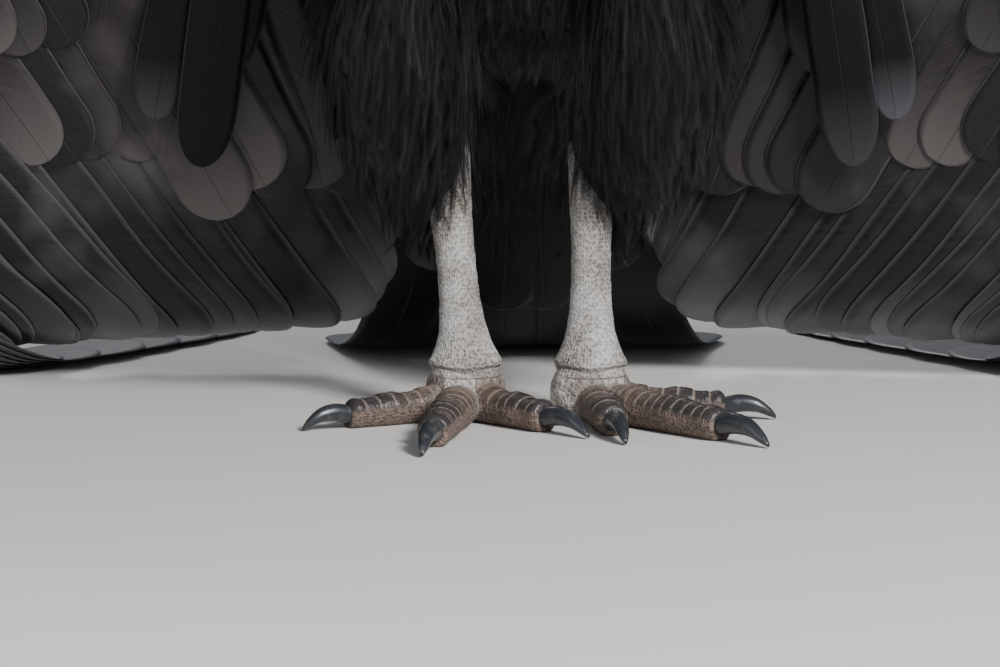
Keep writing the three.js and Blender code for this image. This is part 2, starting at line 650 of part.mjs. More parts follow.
add('torso', torso(), colours.plumage);
add('ruff', ruff(), colours.down, 0.9);
add('neck', neckSolid(), colours.skin);
add('head', headNode(), colours.skin);
add('comb', comb().subtract(skull(gap)).subtract(upperBill(gap)), colours.comb);
add('wattle', wattle().subtract(skull(gap)).subtract(neckSolid(gap)), colours.comb);
add('bill_upper', upperBill(), colours.horn, 0.4);
add('bill_lower', lowerBill(), colours.horn, 0.4);
add('tail', tail(), colours.plumage, 0.5);

for (const [word, side] of sides) {
  add(`eye_${word}`, eyeBall(side), colours.eye, 0.1);
  add(`thigh_${word}`, thigh(side).subtract(torso(gap)), colours.plumage);
  add(`tarsus_${word}`, tarsus(side, legs[word]).subtract(thigh(side, gap)), colours.leg, 0.8);

  const pad = footPad(side, legs[word].foot);
  const centre = v(side * legs[word].foot, padBack, 0);
  const toes = toeShapes.map((shape, i) => toe(centre, headingVector(toeHeadings[word][i]), shape));
  add(`foot_${word}`, join([pad, ...toes]), colours.toe, 0.8);
  toeShapes.forEach((shape, i) =>
    add(`claw_${word}_${shape.digit}`, claw(centre, headingVector(toeHeadings[word][i]), shape), colours.claw, 0.35));

  const sheet = wingSheet(side);
  const upperArm = (grow) => armPart(side, sheet, 0, elbow.u, -gap / 2, grow);
  const foreArm = (grow) => armPart(side, sheet, elbow.u, wrist.u, gap / 2, grow);
  const upper = join([upperArm(0), ...upperArmFeathers(sheet)])
    .subtract(torso(gap)).subtract(thigh(side, gap)).subtract(tailCore(tailSheet(), gap)).subtract(foreArm(gap));
  const fore = join([foreArm(0), ...forearmFeathers(sheet)]).subtract(upperArm(gap)).subtract(handCore(sheet, gap));
  const hand = join([handCore(sheet), ...handFeathers(sheet)]).subtract(foreArm(gap));
  add(`wing_upper_${word}`, upper, colours.plumage);
  add(`wing_forearm_${word}`, fore, colours.white);
  add(`wing_hand_${word}`, hand, colours.plumage);
}

// The floor point under the middle of the whole bird is the origin
const whole = new THREE.Box3().setFromObject(bird, true);
bird.position.y = -(whole.min.y + whole.max.y) / 2;

export default bird;
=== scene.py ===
# %% [markdown]
# # An Andean condor, standing with half-open wings
# This lesson dresses the model of a life-size condor. The solids of the model give its size and
# its pose. Here they get a skin, feathers, scales and horn, one step at a time.
# The first step loads the solids and measures the box of the left shank, to set where the new parts go.

# %% Load the solids and measure the left shank's box
import itertools
import json
import math

import bpy
import numpy as np
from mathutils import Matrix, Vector

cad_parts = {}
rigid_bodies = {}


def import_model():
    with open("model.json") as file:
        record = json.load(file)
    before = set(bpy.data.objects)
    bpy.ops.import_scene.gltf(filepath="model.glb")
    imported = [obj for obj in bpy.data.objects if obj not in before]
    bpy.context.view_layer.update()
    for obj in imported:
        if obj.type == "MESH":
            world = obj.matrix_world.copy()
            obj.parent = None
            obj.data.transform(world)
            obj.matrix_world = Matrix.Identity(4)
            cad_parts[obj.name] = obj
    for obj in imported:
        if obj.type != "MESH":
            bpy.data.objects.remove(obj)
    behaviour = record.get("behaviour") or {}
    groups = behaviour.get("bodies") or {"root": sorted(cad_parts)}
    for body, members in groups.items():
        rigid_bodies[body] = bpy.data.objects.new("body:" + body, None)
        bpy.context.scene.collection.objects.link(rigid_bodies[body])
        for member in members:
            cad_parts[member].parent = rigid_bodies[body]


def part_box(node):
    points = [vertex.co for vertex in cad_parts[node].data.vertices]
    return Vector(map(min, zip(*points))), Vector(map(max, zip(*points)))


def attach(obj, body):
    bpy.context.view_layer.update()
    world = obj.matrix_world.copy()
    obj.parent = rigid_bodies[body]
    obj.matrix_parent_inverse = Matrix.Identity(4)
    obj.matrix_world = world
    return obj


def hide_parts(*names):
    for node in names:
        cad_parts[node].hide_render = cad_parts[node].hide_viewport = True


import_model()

for spare in ("Cube", "Light", "Camera"):
    if spare in bpy.data.objects:
        bpy.data.objects.remove(bpy.data.objects[spare])
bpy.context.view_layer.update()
mm = 0.001
shank_front = 20 * mm
shift = np.array([0, float(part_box("tarsus_left")[0][1]) + shank_front, 0])
rng = np.random.default_rng(7)

# %% [markdown]
# ## Camera, floor and light
# The view is a close one of the feet and the hanging wings, taken from far away with a long
# lens, so the picture is almost flat. The camera looks along +Y from a little above the floor.
# A long lens is a narrow field of view: here 6 metres away for a frame 0.58 metres wide.

# %% Camera
view_distance = 6.0
view_rise = math.radians(8)
frame_width = 0.583
sensor_width = 36
target = Vector((-0.0146, -0.1, 0.063))

camera_data = bpy.data.cameras.new("Camera")
camera = bpy.data.objects.new("Camera", camera_data)
bpy.context.scene.collection.objects.link(camera)
toward_camera = Vector((0, -math.cos(view_rise), math.sin(view_rise)))
camera.location = target + toward_camera * view_distance
camera.rotation_euler = (math.pi / 2 - view_rise, 0, 0)
camera_data.sensor_width = sensor_width
camera_data.lens = sensor_width * view_distance / frame_width
camera_data.clip_end = 100
bpy.context.scene.camera = camera
print("lens:", round(camera_data.lens), "mm")

# %% [markdown]
# A plain pale floor fills the frame. The light is a studio's: one wide soft lamp high on the
# right, a weaker one on the left, one behind that draws a sheen along the feathers, and a pale
# sky all round.

# %% Floor and lamps
floor_reach = 20
floor_corners = [(x * floor_reach, y * floor_reach, 0) for x, y in ((-1, -1), (1, -1), (1, 1), (-1, 1))]
floor_mesh = bpy.data.meshes.new("floor")
floor_mesh.from_pydata(floor_corners, [], [(0, 1, 2, 3)])
floor = bpy.data.objects.new("floor", floor_mesh)
bpy.context.scene.collection.objects.link(floor)

floor_finish = bpy.data.materials.new("pale floor")
floor_finish.use_nodes = True
floor_shader = floor_finish.node_tree.nodes["Principled BSDF"]
floor_shader.inputs["Base Color"].default_value = (0.60, 0.585, 0.56, 1)
floor_shader.inputs["Roughness"].default_value = 0.9
floor_mesh.materials.append(floor_finish)


def lamp(name, place, aim, size, watts, colour=(1, 1, 1)):
    """A square area lamp at a place, turned towards another."""
    data = bpy.data.lights.new(name, "AREA")
    data.size = size
    data.energy = watts
    data.color = colour
    made = bpy.data.objects.new(name, data)
    made.location = place
    made.rotation_euler = (Vector(aim) - Vector(place)).to_track_quat("-Z", "Y").to_euler()
    bpy.context.scene.collection.objects.link(made)


lamp("key lamp", (1.7, -2.4, 2.2), (0, 0, 0.2), 0.9, 190)
lamp("fill lamp", (-2.6, -2.0, 1.3), (0, 0, 0.2), 1.8, 20)
lamp("rim lamp", (-0.6, 2.6, 2.4), (0, 0, 0.3), 1.6, 50)

world = bpy.data.worlds.new("studio")
world.use_nodes = True
world.node_tree.nodes["Background"].inputs["Color"].default_value = (0.86, 0.91, 1.0, 1)
world.node_tree.nodes["Background"].inputs["Strength"].default_value = 0.34
bpy.context.scene.world = world

# %% [markdown]
# ## Tools for making meshes
# Everything on the bird is one of two things: a skin lofted over rings, or many small blades set
# in rows. Both are quick to make with arrays of numbers, so the helpers here turn arrays of
# points and faces into a mesh, blend numbers, and draw a smooth curve through a few points.

# %% Helpers for numbers and meshes
def lerp(a, b, t):
    """A value a share t of the way from a to b."""
    return a + (b - a) * t


def smooth(t, low=0.0, high=1.0):
    """0 up to low, 1 from high, with a soft slope between."""
    f = np.clip((t - low) / (high - low), 0, 1)
    return f * f * (3 - 2 * f)


def unit(vectors):
    vectors = np.asarray(vectors, float)
    return vectors / np.maximum(np.linalg.norm(vectors, axis=-1, keepdims=True), 1e-12)


def mark_points(mesh, marks):
    """Numbers kept on a mesh's points, under the names of the marks."""
    for title, values in marks.items():
        attribute = mesh.attributes.new(title, "FLOAT", "POINT")
        attribute.data.foreach_set("value", np.ascontiguousarray(values, np.float32))


def make_mesh(name, points, faces, uvs=None, marks=None):
    """An object from points, arrays of triangles and quads, UV maps by point, and numbers on points."""
    mesh = bpy.data.meshes.new(name)
    groups = [np.asarray(f) for f in faces if len(f)]
    corners = np.concatenate([f.ravel() for f in groups]).astype(np.int32)
    totals = np.concatenate([np.full(len(f), f.shape[1]) for f in groups]).astype(np.int32)
    mesh.vertices.add(len(points))
    mesh.vertices.foreach_set("co", np.ascontiguousarray(points, np.float32).ravel())
    mesh.loops.add(len(corners))
    mesh.loops.foreach_set("vertex_index", corners)
    mesh.polygons.add(len(totals))
    starts = np.concatenate([[0], np.cumsum(totals)[:-1]]).astype(np.int32)
    mesh.polygons.foreach_set("loop_start", starts)
    mesh.polygons.foreach_set("loop_total", totals)
    mesh.polygons.foreach_set("use_smooth", np.ones(len(totals), bool))
    for title, values in (uvs or {}).items():
        layer = mesh.uv_layers.new(name=title)
        layer.data.foreach_set("uv", np.ascontiguousarray(values[corners], np.float32).ravel())
    mark_points(mesh, marks or {})
    mesh.update(calc_edges=True)
    mesh.validate()
    made = bpy.data.objects.new(name, mesh)
    bpy.context.scene.collection.objects.link(made)
    return made


def points_of(thing):
    """A mesh's points as an array with a row for each."""
    points = np.empty(len(thing.data.vertices) * 3, np.float32)
    thing.data.vertices.foreach_get("co", points)
    return points.reshape(-1, 3).astype(float)


def normals_of(thing):
    """A mesh's normals, one for each point."""
    normals = np.empty(len(thing.data.vertices) * 3, np.float32)
    thing.data.vertex_normals.foreach_get("vector", normals)
    return normals.reshape(-1, 3).astype(float)


def move_points(thing, points):
    thing.data.vertices.foreach_set("co", np.ascontiguousarray(points, np.float32).ravel())
    thing.data.update()


def blend_weights(t):
    """Shares of the start, its slope, the end and its slope, in a smooth blend at t."""
    return 2 * t**3 - 3 * t**2 + 1, t**3 - 2 * t**2 + t, 3 * t**2 - 2 * t**3, t**3 - t**2


class Curve:
    """A smooth curve through a few points, measured along its length."""

    def __init__(self, knots, steps=40):
        knots = np.asarray(knots, float)
        ends = [2 * knots[0] - knots[1], *knots, 2 * knots[-1] - knots[-2]]
        path = [knots[0]]
        for a, b, c, d in zip(ends, ends[1:], ends[2:], ends[3:]):
            ab, bc, cd = (np.linalg.norm(q - p) ** 0.5 for p, q in ((a, b), (b, c), (c, d)))
            m1 = (c - b) + bc * ((b - a) / ab - (c - a) / (ab + bc))
            m2 = (c - b) + bc * ((d - c) / cd - (d - b) / (bc + cd))
            for i in range(1, steps + 1):
                w0, w1, w2, w3 = blend_weights(i / steps)
                path.append(w0 * b + w1 * m1 + w2 * c + w3 * m2)
        self.path = np.array(path)
        lengths = np.linalg.norm(np.diff(self.path, axis=0), axis=1)
        self.along = np.concatenate([[0], np.cumsum(lengths)])
        self.length = self.along[-1]

    def at(self, share):
        share = np.clip(share, 0, 1) * self.length
        return np.stack([np.interp(share, self.along, self.path[:, i]) for i in range(3)], -1)

    def heading(self, share):
        return unit(self.at(np.asarray(share) + 0.01) - self.at(np.asarray(share) - 0.01))


def oval(centre, x, y, half, up, down, count):
    """A ring of points: half wide along x, and up or down along y."""
    angle = 2 * np.pi * np.arange(count) / count
    rise = np.sin(angle)
    reach = np.where(rise > 0, up, down) * rise
    return centre + np.outer(half * np.cos(angle), x) + np.outer(reach, y)


def loft_arrays(rings):
    """Points and faces of a closed skin over rings of equal count."""
    rings = np.asarray(rings)
    rows, count = rings.shape[:2]
    i, j = np.meshgrid(np.arange(rows - 1), np.arange(count), indexing="ij")
    a = (i * count + j).ravel()
    b = (i * count + (j + 1) % count).ravel()
    quads = np.stack([a, b, b + count, a + count], 1)
    points = np.concatenate([rings.reshape(-1, 3), [rings[0].mean(0)], [rings[-1].mean(0)]])
    k = np.arange(count)
    last = (rows - 1) * count
    first_cap = np.stack([np.full(count, rows * count), (k + 1) % count, k], 1)
    last_cap = np.stack([np.full(count, rows * count + 1), last + k, last + (k + 1) % count], 1)
    return points, quads, np.concatenate([first_cap, last_cap])


def finer(sections, steps):
    """Sections with smooth ones added between them."""
    sections = np.asarray(sections, float)
    knots = np.linspace(0, 1, len(sections))
    wanted = np.linspace(0, 1, (len(sections) - 1) * steps + 1)
    columns = []
    for values in sections.T:
        slope = np.gradient(values, knots)
        i = np.clip(np.searchsorted(knots, wanted, side="right") - 1, 0, len(knots) - 2)
        width = knots[i + 1] - knots[i]
        w0, w1, w2, w3 = blend_weights((wanted - knots[i]) / width)
        columns.append(w0 * values[i] + w1 * slope[i] * width
                       + w2 * values[i + 1] + w3 * slope[i + 1] * width)
    return np.stack(columns, 1)


def one_skin(name, lofts, voxel, rounds=2):
    """Closed lofts fused into one even skin, with its creases eased."""
    points, quads, tris, start = [], [], [], 0
    for p, q, t in lofts:
        points.append(p)
        quads.append(q + start)
        tris.append(t + start)
        start += len(p)
    made = make_mesh(name, np.concatenate(points), [np.concatenate(quads), np.concatenate(tris)])
    remesh = made.modifiers.new("even", "REMESH")
    remesh.mode = "VOXEL"
    remesh.voxel_size = voxel
    remesh.use_smooth_shade = True
    ease = made.modifiers.new("ease", "SMOOTH")
    ease.factor = 0.6
    ease.iterations = rounds
    evaluated = made.evaluated_get(bpy.context.evaluated_depsgraph_get())
    finished = bpy.data.meshes.new_from_object(evaluated)
    made.modifiers.clear()
    made.data = finished
    finished.name = name
    print(name, "skin:", len(finished.polygons), "faces")
    return made


trial = Curve([(0, 0, 0), (0, 1, 1)])
print("a straight curve of two points is", round(trial.length, 3), "long")

# %% [markdown]
# ## Tools for finishes
# A finish is a small graph of shader nodes. One helper makes a node and joins its inputs, and
# another starts a material. Effects that several finishes share are node groups: the fine barbs
# of a feather, drawn along its own flat map, and a slow drift of tone over the whole bird.

# %% Helpers for finishes
def node(tree, kind, inputs=None, **settings):
    """A shader node with its settings, and its inputs set to numbers or joined to sockets."""
    made = tree.nodes.new(kind)
    for key, value in settings.items():
        setattr(made, key, value)
    for key, value in (inputs or {}).items():
        if isinstance(value, bpy.types.NodeSocket):
            tree.links.new(value, made.inputs[key])
        else:
            made.inputs[key].default_value = value
    return made


def maths(tree, operation, a, b=0.0):
    return node(tree, "ShaderNodeMath", {0: a, 1: b}, operation=operation).outputs[0]


def blend(tree, share, a, b):
    """A colour between a and b."""
    made = node(tree, "ShaderNodeMix", {0: share}, data_type="RGBA")
    for socket, value in ((made.inputs[6], a), (made.inputs[7], b)):
        if isinstance(value, bpy.types.NodeSocket):
            tree.links.new(value, socket)
        else:
            socket.default_value = (*value, 1)
    return made.outputs[2]


def ramp(tree, value, low, high, start=0.0, end=1.0):
    """A number moved from one range to another, and kept in it."""
    return node(tree, "ShaderNodeMapRange", {0: value, 1: low, 2: high, 3: start, 4: end}).outputs[0]


def noise(tree, scale, detail=2.0, vector=None):
    """A cloudy number about 0.5, with this many specks to the metre."""
    inputs = {"Scale": scale, "Detail": detail}
    if vector is not None:
        inputs["Vector"] = vector
    return node(tree, "ShaderNodeTexNoise", inputs).outputs["Fac"]


def group(name, inputs, outputs):
    """An empty node group with named number inputs and named outputs."""
    tree = bpy.data.node_groups.new(name, "ShaderNodeTree")
    for title, value in inputs.items():
        socket = tree.interface.new_socket(title, in_out="INPUT", socket_type="NodeSocketFloat")
        socket.default_value = value
    for title, kind in outputs.items():
        tree.interface.new_socket(title, in_out="OUTPUT", socket_type=kind)
    return tree, tree.nodes.new("NodeGroupInput"), tree.nodes.new("NodeGroupOutput")


def use(tree, inner, **inputs):
    """A node group placed in a finish."""
    made = node(tree, "ShaderNodeGroup", node_tree=inner)
    for title, value in inputs.items():
        made.inputs[title].default_value = value
    return made


def finish(name, roughness=0.6, **constants):
    """A new material: its tree and its shader, with constant sockets set."""
    material = bpy.data.materials.new(name)
    material.use_nodes = True
    shader = material.node_tree.nodes["Principled BSDF"]
    shader.inputs["Roughness"].default_value = roughness
    for title, value in constants.items():
        shader.inputs[title.replace("_", " ")].default_value = value
    return material, material.node_tree, shader


def raised(tree, shader, height, distance):
    """Relief too fine to model: a height, and how far it stands up where it is 1."""
    bump = node(tree, "ShaderNodeBump", {"Height": height, "Distance": distance})
    tree.links.new(bump.outputs[0], shader.inputs["Normal"])


def product(tree, a, b):
    """Two numbers multiplied."""
    return maths(tree, "MULTIPLY", a, b)


def own_place_of(tree):
    """Where on the bird a point is."""
    return node(tree, "ShaderNodeTexCoord").outputs["Object"]


def flat_map_of(tree):
    """Where on a feather, claw or bill a point is: across it, and along it."""
    flat = node(tree, "ShaderNodeUVMap", uv_map="FeatherUV").outputs[0]
    return flat, node(tree, "ShaderNodeSeparateXYZ", {0: flat})


def attribute(tree, name):
    """A number that was kept on the points of a mesh."""
    return node(tree, "ShaderNodeAttribute", attribute_name=name).outputs["Fac"]


# %% [markdown]
# A vane is made of barbs, which leave the shaft at a slant and lie side by side like the teeth of
# a comb. They are far too fine to model, so a pattern on the feather's flat map draws them. Its
# phase grows along the feather and shrinks away from the shaft, which gives the slant. The drift
# of tone is a plain cloud over the whole bird.

# %% The barbs of a feather
barbs_group, given, result = group("feather barbs", {"Count": 120.0, "Slant": 26.0},
                                   {"Lines": "NodeSocketFloat", "Shaft": "NodeSocketFloat"})
_, split = flat_map_of(barbs_group)
off_shaft = maths(barbs_group, "ABSOLUTE", maths(barbs_group, "SUBTRACT", split.outputs[0], 0.5))
step_along = product(barbs_group, split.outputs[1], given.outputs["Count"])
step_slant = product(barbs_group, off_shaft, given.outputs["Slant"])
barb_phase = maths(barbs_group, "SUBTRACT", step_along, step_slant)
barb_turns = {0: barb_phase, 1: product(barbs_group, off_shaft, 3)}
barb_place = node(barbs_group, "ShaderNodeCombineXYZ", barb_turns)
barbs_group.links.new(noise(barbs_group, 1.0, 2.0, barb_place.outputs[0]), result.inputs["Lines"])
barbs_group.links.new(ramp(barbs_group, off_shaft, 0.007, 0.016, 1, 0), result.inputs["Shaft"])
print("the barbs' group gives:", [socket.name for socket in result.inputs if socket.name])

# %% The drift of tone over the bird
drift_group, given, result = group("tone drift", {"Scale": 9.0}, {"Drift": "NodeSocketFloat"})
drift = noise(drift_group, given.outputs["Scale"], 3.0, own_place_of(drift_group))
drift_group.links.new(drift, result.inputs["Drift"])
print("groups:", [tree.name for tree in bpy.data.node_groups])

# %% [markdown]
# The feathers of a condor are black with a cool sheen. On the underside of the wings the big
# feathers are a softer grey-brown, and on top the inner ones carry a broad white panel. Each
# feather has its own slight tone, kept as a number on its points, so no two are quite alike.

# %% Feather finishes
end_starts, end_full = 0.74, 0.79


def feather_finish(name, dark, light, pale_and_sheen, roughness, gleam=0.5, count=150.0, edge=0.05, tip_share=0.2,
                   end=None, gloss=0.32):
    """Barbed vanes, dark to light with each feather's tone: painted sheen patches, paler shaft, worn edges.
    """
    material, tree, shader = finish(name, roughness, Sheen_Weight=0.06, Sheen_Roughness=0.35,
                                    Specular_IOR_Level=gloss)
    shader.inputs["Sheen Tint"].default_value = (0.75, 0.82, 0.95, 1)
    barbs = use(tree, barbs_group, Count=count)
    drifting = use(tree, drift_group, Scale=9.0)
    own_tone = attribute(tree, "tone")
    tone = maths(tree, "ADD", product(tree, own_tone, 0.65), product(tree, drifting.outputs[0], 0.35))
    _, split = flat_map_of(tree)
    off = maths(tree, "ABSOLUTE", maths(tree, "SUBTRACT", split.outputs[0], 0.5))
    colour = blend(tree, tone, dark, light)
    colour = blend(tree, ramp(tree, barbs.outputs["Lines"], 0.35, 0.65, 0, 0.75), colour, dark)
    # Painted sheen: pale patches where the drift is high, weaker near the shaft, stand in for light
    # gleaming on the vanes.
    painted_sheen = product(tree, ramp(tree, drifting.outputs[0], 0.50, 0.72), gleam)
    painted_sheen = product(tree, painted_sheen, ramp(tree, off, 0.0, 0.3, 0.35, 1))
    worn = product(tree, ramp(tree, off, 0.5 - edge, 0.5), 0.5)
    near_tip = product(tree, ramp(tree, split.outputs[1], 1 - tip_share, 1.0),
                       maths(tree, "POWER", own_tone, 2.5))
    pale = maths(tree, "MAXIMUM", maths(tree, "MAXIMUM", worn, near_tip),
                 product(tree, barbs.outputs["Shaft"], 0.16))
    # The pale colour belongs to the worn edges, the pale tips and the shaft, and it is also the colour of
    # the painted sheen.
    colour = blend(tree, maths(tree, "MAXIMUM", pale, painted_sheen), colour, pale_and_sheen)
    if end:
        ragged = maths(tree, "ADD", split.outputs[1], product(tree, barbs.outputs["Lines"], 0.05))
        colour = blend(tree, ramp(tree, ragged, end_starts, end_full), colour, end)
    tree.links.new(colour, shader.inputs["Base Color"])
    height = maths(tree, "ADD", barbs.outputs["Lines"], product(tree, barbs.outputs["Shaft"], 1.5))
    raised(tree, shader, height, 0.3 * mm)
    return material


under_wing = feather_finish("underside of the wing feathers", (0.0035, 0.004, 0.0055),
                            (0.018, 0.0145, 0.013), (0.135, 0.130, 0.132), 0.36, 0.6)
upper_wing = feather_finish("upper side of the wing feathers", (0.003, 0.0035, 0.0045),
                            (0.012, 0.012, 0.013), (0.05, 0.05, 0.05), 0.40, 0.2)
white_panel = feather_finish("white panel of the wing", (0.42, 0.41, 0.39), (0.72, 0.71, 0.69),
                             (0.80, 0.79, 0.77), 0.6, 0.2)
white_base = feather_finish("secondaries, white with a dark end", (0.38, 0.37, 0.35), (0.66, 0.65, 0.63),
                            (0.74, 0.73, 0.71), 0.55, 0.2, end=(0.006, 0.006, 0.007))
under_covert = feather_finish("underwing coverts", (0.005, 0.005, 0.006), (0.030, 0.024, 0.022),
                              (0.150, 0.138, 0.134), 0.36, 0.6, count=90.0, edge=0.04, tip_share=0.35)
black_vane = feather_finish("black vanes", (0.0015, 0.0018, 0.0022), (0.005, 0.0055, 0.007),
                            (0.075, 0.078, 0.085), 0.36, 0.05, count=120.0, edge=0.03, gloss=0.2)


def down_finish(name, dark, light, roughness, sheen, tint):
    """Loose barbs, where each tuft goes from dark at its root to pale at its end; on the black coat that
    pale is painted highlight.
    """
    material, tree, shader = finish(name, roughness, Sheen_Weight=sheen, Sheen_Roughness=0.4,
                                    Specular_IOR_Level=0.3)
    shader.inputs["Sheen Tint"].default_value = (*tint, 1)
    _, split = flat_map_of(tree)
    # On the silky black coat the pale barbs of high-toned tufts are painted highlights, streaks of sheen;
    # on the white down they are paler ends.
    share = product(tree, maths(tree, "POWER", attribute(tree, "tone"), 1.8),
                    ramp(tree, split.outputs[1], 0, 1, 0.3, 1))
    tree.links.new(blend(tree, share, dark, light), shader.inputs["Base Color"])
    return material


silky_black = down_finish("silky black feathers", (0.0012, 0.0013, 0.0016), (0.020, 0.021, 0.025),
                          0.32, 0.06, (0.8, 0.86, 1.0))
white_down = down_finish("white down of the ruff", (0.55, 0.54, 0.52), (0.86, 0.85, 0.83), 0.8, 0.3,
                         (1.0, 1.0, 1.0))
print("finishes:", len(bpy.data.materials))

# %% [markdown]
# ## The skin of the body
# Under the feathers a bird is slim. One skin is lofted over the torso, thighs, arms and the root
# of the tail, and fused, so that no seam shows. It lies inside the solids by the depth of the
# coat, and the feathers then fill the space between.

# %% Torso, thighs and tail root
coat_depth = 17.0
floor_gap = 0.1


def in_place(points_mm):
    """Points in millimetres, before the bird is centred, to metres in its place."""
    return np.asarray(points_mm, float) * mm + shift


torso_curve = Curve([(0, 125, 205), (0, 66, 268), (0, -30, 385), (0, -118, 490), (0, -172, 562)])
torso_sections = [
    # along, half width, upper, lower
    (0, 46, 36, 42), (0.1, 78, 60, 84), (0.24, 110, 90, 112), (0.38, 130, 108, 124), (0.52, 138, 118, 130),
    (0.66, 138, 118, 130), (0.8, 124, 106, 116), (0.91, 100, 86, 92), (1, 72, 64, 66),
]
side_way = np.array([1.0, 0, 0])


def body_rings(curve, sections, count, grow):
    """Ovals square to a curve in the bird's middle plane."""
    rings = []
    for along, half, up, down in sections:
        y = unit(np.cross(side_way, curve.heading(along)))
        rings.append(oval(curve.at(along), side_way, y, half + grow, up + grow, down + grow, count))
    return rings


thigh_sections = [
    (124, 62, 30, 20, 18), (134, 64, 25, 34, 31), (156, 68, 14, 45, 44), (196, 74, -2, 55, 58),
    (246, 76, -22, 60, 72), (310, 70, -42, 50, 66), (356, 58, -56, 30, 44),
]
hock_cuff = [(117, 13, 38, 11, 12), (127, 12, 40, 19, 19), (150, 11, 39, 23, 23), (178, 10, 30, 23, 27)]


def level_rings(side, sections, count, grow=0.0):
    """Level ovals: height, place from side to side, place from front to back, half width, half depth."""
    return [oval(np.array([side * x, y, z]), side_way, np.array([0, 1.0, 0]), half + grow, deep + grow,
                 deep + grow, count) for z, x, y, half, deep in sections]


print("torso:", len(torso_sections), "sections, thigh:", len(thigh_sections), "sections")

# %% [markdown]
# The wings hang down and lean back more and more towards the floor, where their tips lie. All
# the feathers of a wing lie in copies of one bent sheet, each a little above the last, so none
# cuts through another. A place on a sheet is given by u outwards, s down it and h off it.

# %% The sheets that the wings and the tail lie in
class Sheet:
    """A hanging sheet with eased folds. Positive h is its underside, which faces forwards."""

    def __init__(self, side, origin, yaw, start, leans, cup=0.0, cup_at=0.0, ease=16):
        yaw = math.radians(yaw)
        self.origin, self.cup, self.cup_at = np.array(origin, float), cup, cup_at
        self.across = np.array([side * math.cos(yaw), -math.sin(yaw), 0])
        self.back = np.array([side * math.sin(yaw), math.cos(yaw), 0])
        self.s = np.arange(start, leans[-1][0] + 160, 2.0)
        ends = np.array([end for end, _ in leans])
        angles = np.array([angle for _, angle in leans] + [leans[-1][1]])
        lean = np.radians(angles)[np.searchsorted(ends, self.s)]
        kernel = np.exp(-0.5 * (np.arange(-30, 31) * 2.0 / ease) ** 2)
        lean = np.convolve(np.pad(lean, 30, mode="edge"), kernel / kernel.sum(), mode="valid")
        step = np.stack([np.sin(lean), -np.cos(lean)], 1)
        path = np.concatenate([[[0, 0]], np.cumsum(step[:-1] * 2.0, axis=0)])
        zero = np.array([np.interp(0, self.s, path[:, 0]), np.interp(0, self.s, path[:, 1])])
        self.path = path - zero
        self.normal = np.stack([step[:, 1], -step[:, 0]], 1)

    def place(self, u, s, h):
        u, s, h = np.broadcast_arrays(np.asarray(u, float), s, h)
        path = [np.interp(s, self.s, self.path[:, i]) for i in (0, 1)]
        off = [np.interp(s, self.s, self.normal[:, i]) for i in (0, 1)]
        back = path[0] + h * off[0] - self.cup * (u - self.cup_at) ** 2
        up = path[1] + h * off[1]
        return (self.origin + u[..., None] * self.across + back[..., None] * self.back
                + up[..., None] * np.array([0, 0, 1.0]))


def wing_sheet(side):
    """Its leans: up to which s the sheet leans back by how many degrees."""
    return Sheet(side, (0, 70, 386), 8, -200, [(300, 14), (355, 34), (400, 60), (760, 90)], 1.2e-4, 330)


tail_sheet = Sheet(1, (0, 122, 206), 0, -80, [(165, 26), (215, 50), (255, 74), (500, 90)])
elbow, wrist, hand_tip = np.array([290.0, 78]), np.array([640.0, 100]), np.array([528.0, 234])
upper_arm_end = np.array([190.0, -4])
layer = 0.9
first_primary = 17
primaries = 10
print("a wing's feathers lie", layer, "mm apart, each over the last")

# %% [markdown]
# Skin runs from the bone at the back of the arm to a tendon at its front, so each cross section
# of the arm is a drop: round behind, drawn out to an edge in front. The hand is a plain oval. Both
# are placed on the sheet, so the feathers' roots sink into them wherever the wing goes.


# %% The arms inside the wings
def arm_ring(front, bone, radius, grow):
    """A drop round a bone, drawn out to the front edge of the arm."""
    front, bone = np.asarray(front, float), np.asarray(bone, float)
    long = np.linalg.norm(bone - front)
    chord = (bone - front) / long
    off = unit(np.cross(chord, side_way))
    ring = [(-0.02 * long, 0, -1), (0.3 * long, 0.68 * radius, 0)]
    for degrees in (75, 45, 15, -15, -45, -75):
        angle = math.radians(degrees)
        ring.append((long + radius * math.cos(angle), radius * math.sin(angle), math.cos(angle)))
    ring.append((0.3 * long, -0.68 * radius, 0))
    return np.array([front + chord * (c + grow * ahead) + off * (t + grow * np.sign(t))
                     for c, t, ahead in ring])


def arm_rings(side, sheet, grow=0.0):
    stations = [
        # front edge, bone behind, radius over the bone
        ((side * 70, -140, 500), (side * 70, -40, 452), 24),
        ((side * 138, -146, 494), sheet.place(140, -38, 10), 26),
        ((side * 210, -132, 468), sheet.place(212, 14, 6), 25),
        ((side * 288, -112, 438), sheet.place(290, 78, 2), 24),
        ((side * 400, -98, 404), sheet.place(400, 85, 8), 20),
        ((side * 520, -78, 366), sheet.place(520, 92, 14), 18),
        ((side * 634, -48, 326), sheet.place(640, 100, 20), 16),
    ]
    return [arm_ring(front, bone, radius, grow) for front, bone, radius in stations]


hand_sections = [
    # share of the way along the hand, half width, half thickness, height over the feathers
    (-0.14, 8, 12, 28), (-0.03, 18, 24, 24), (0.25, 18, 17, 14), (1.04, 9, 8, 4),
]
tail_sections = [
    # place down the tail's sheet, half width, half thickness, height over the sheet
    (-40, 36, 28, 0), (20, 46, 29, 2), (80, 42, 17, 4), (110, 30, 8, 5),
]


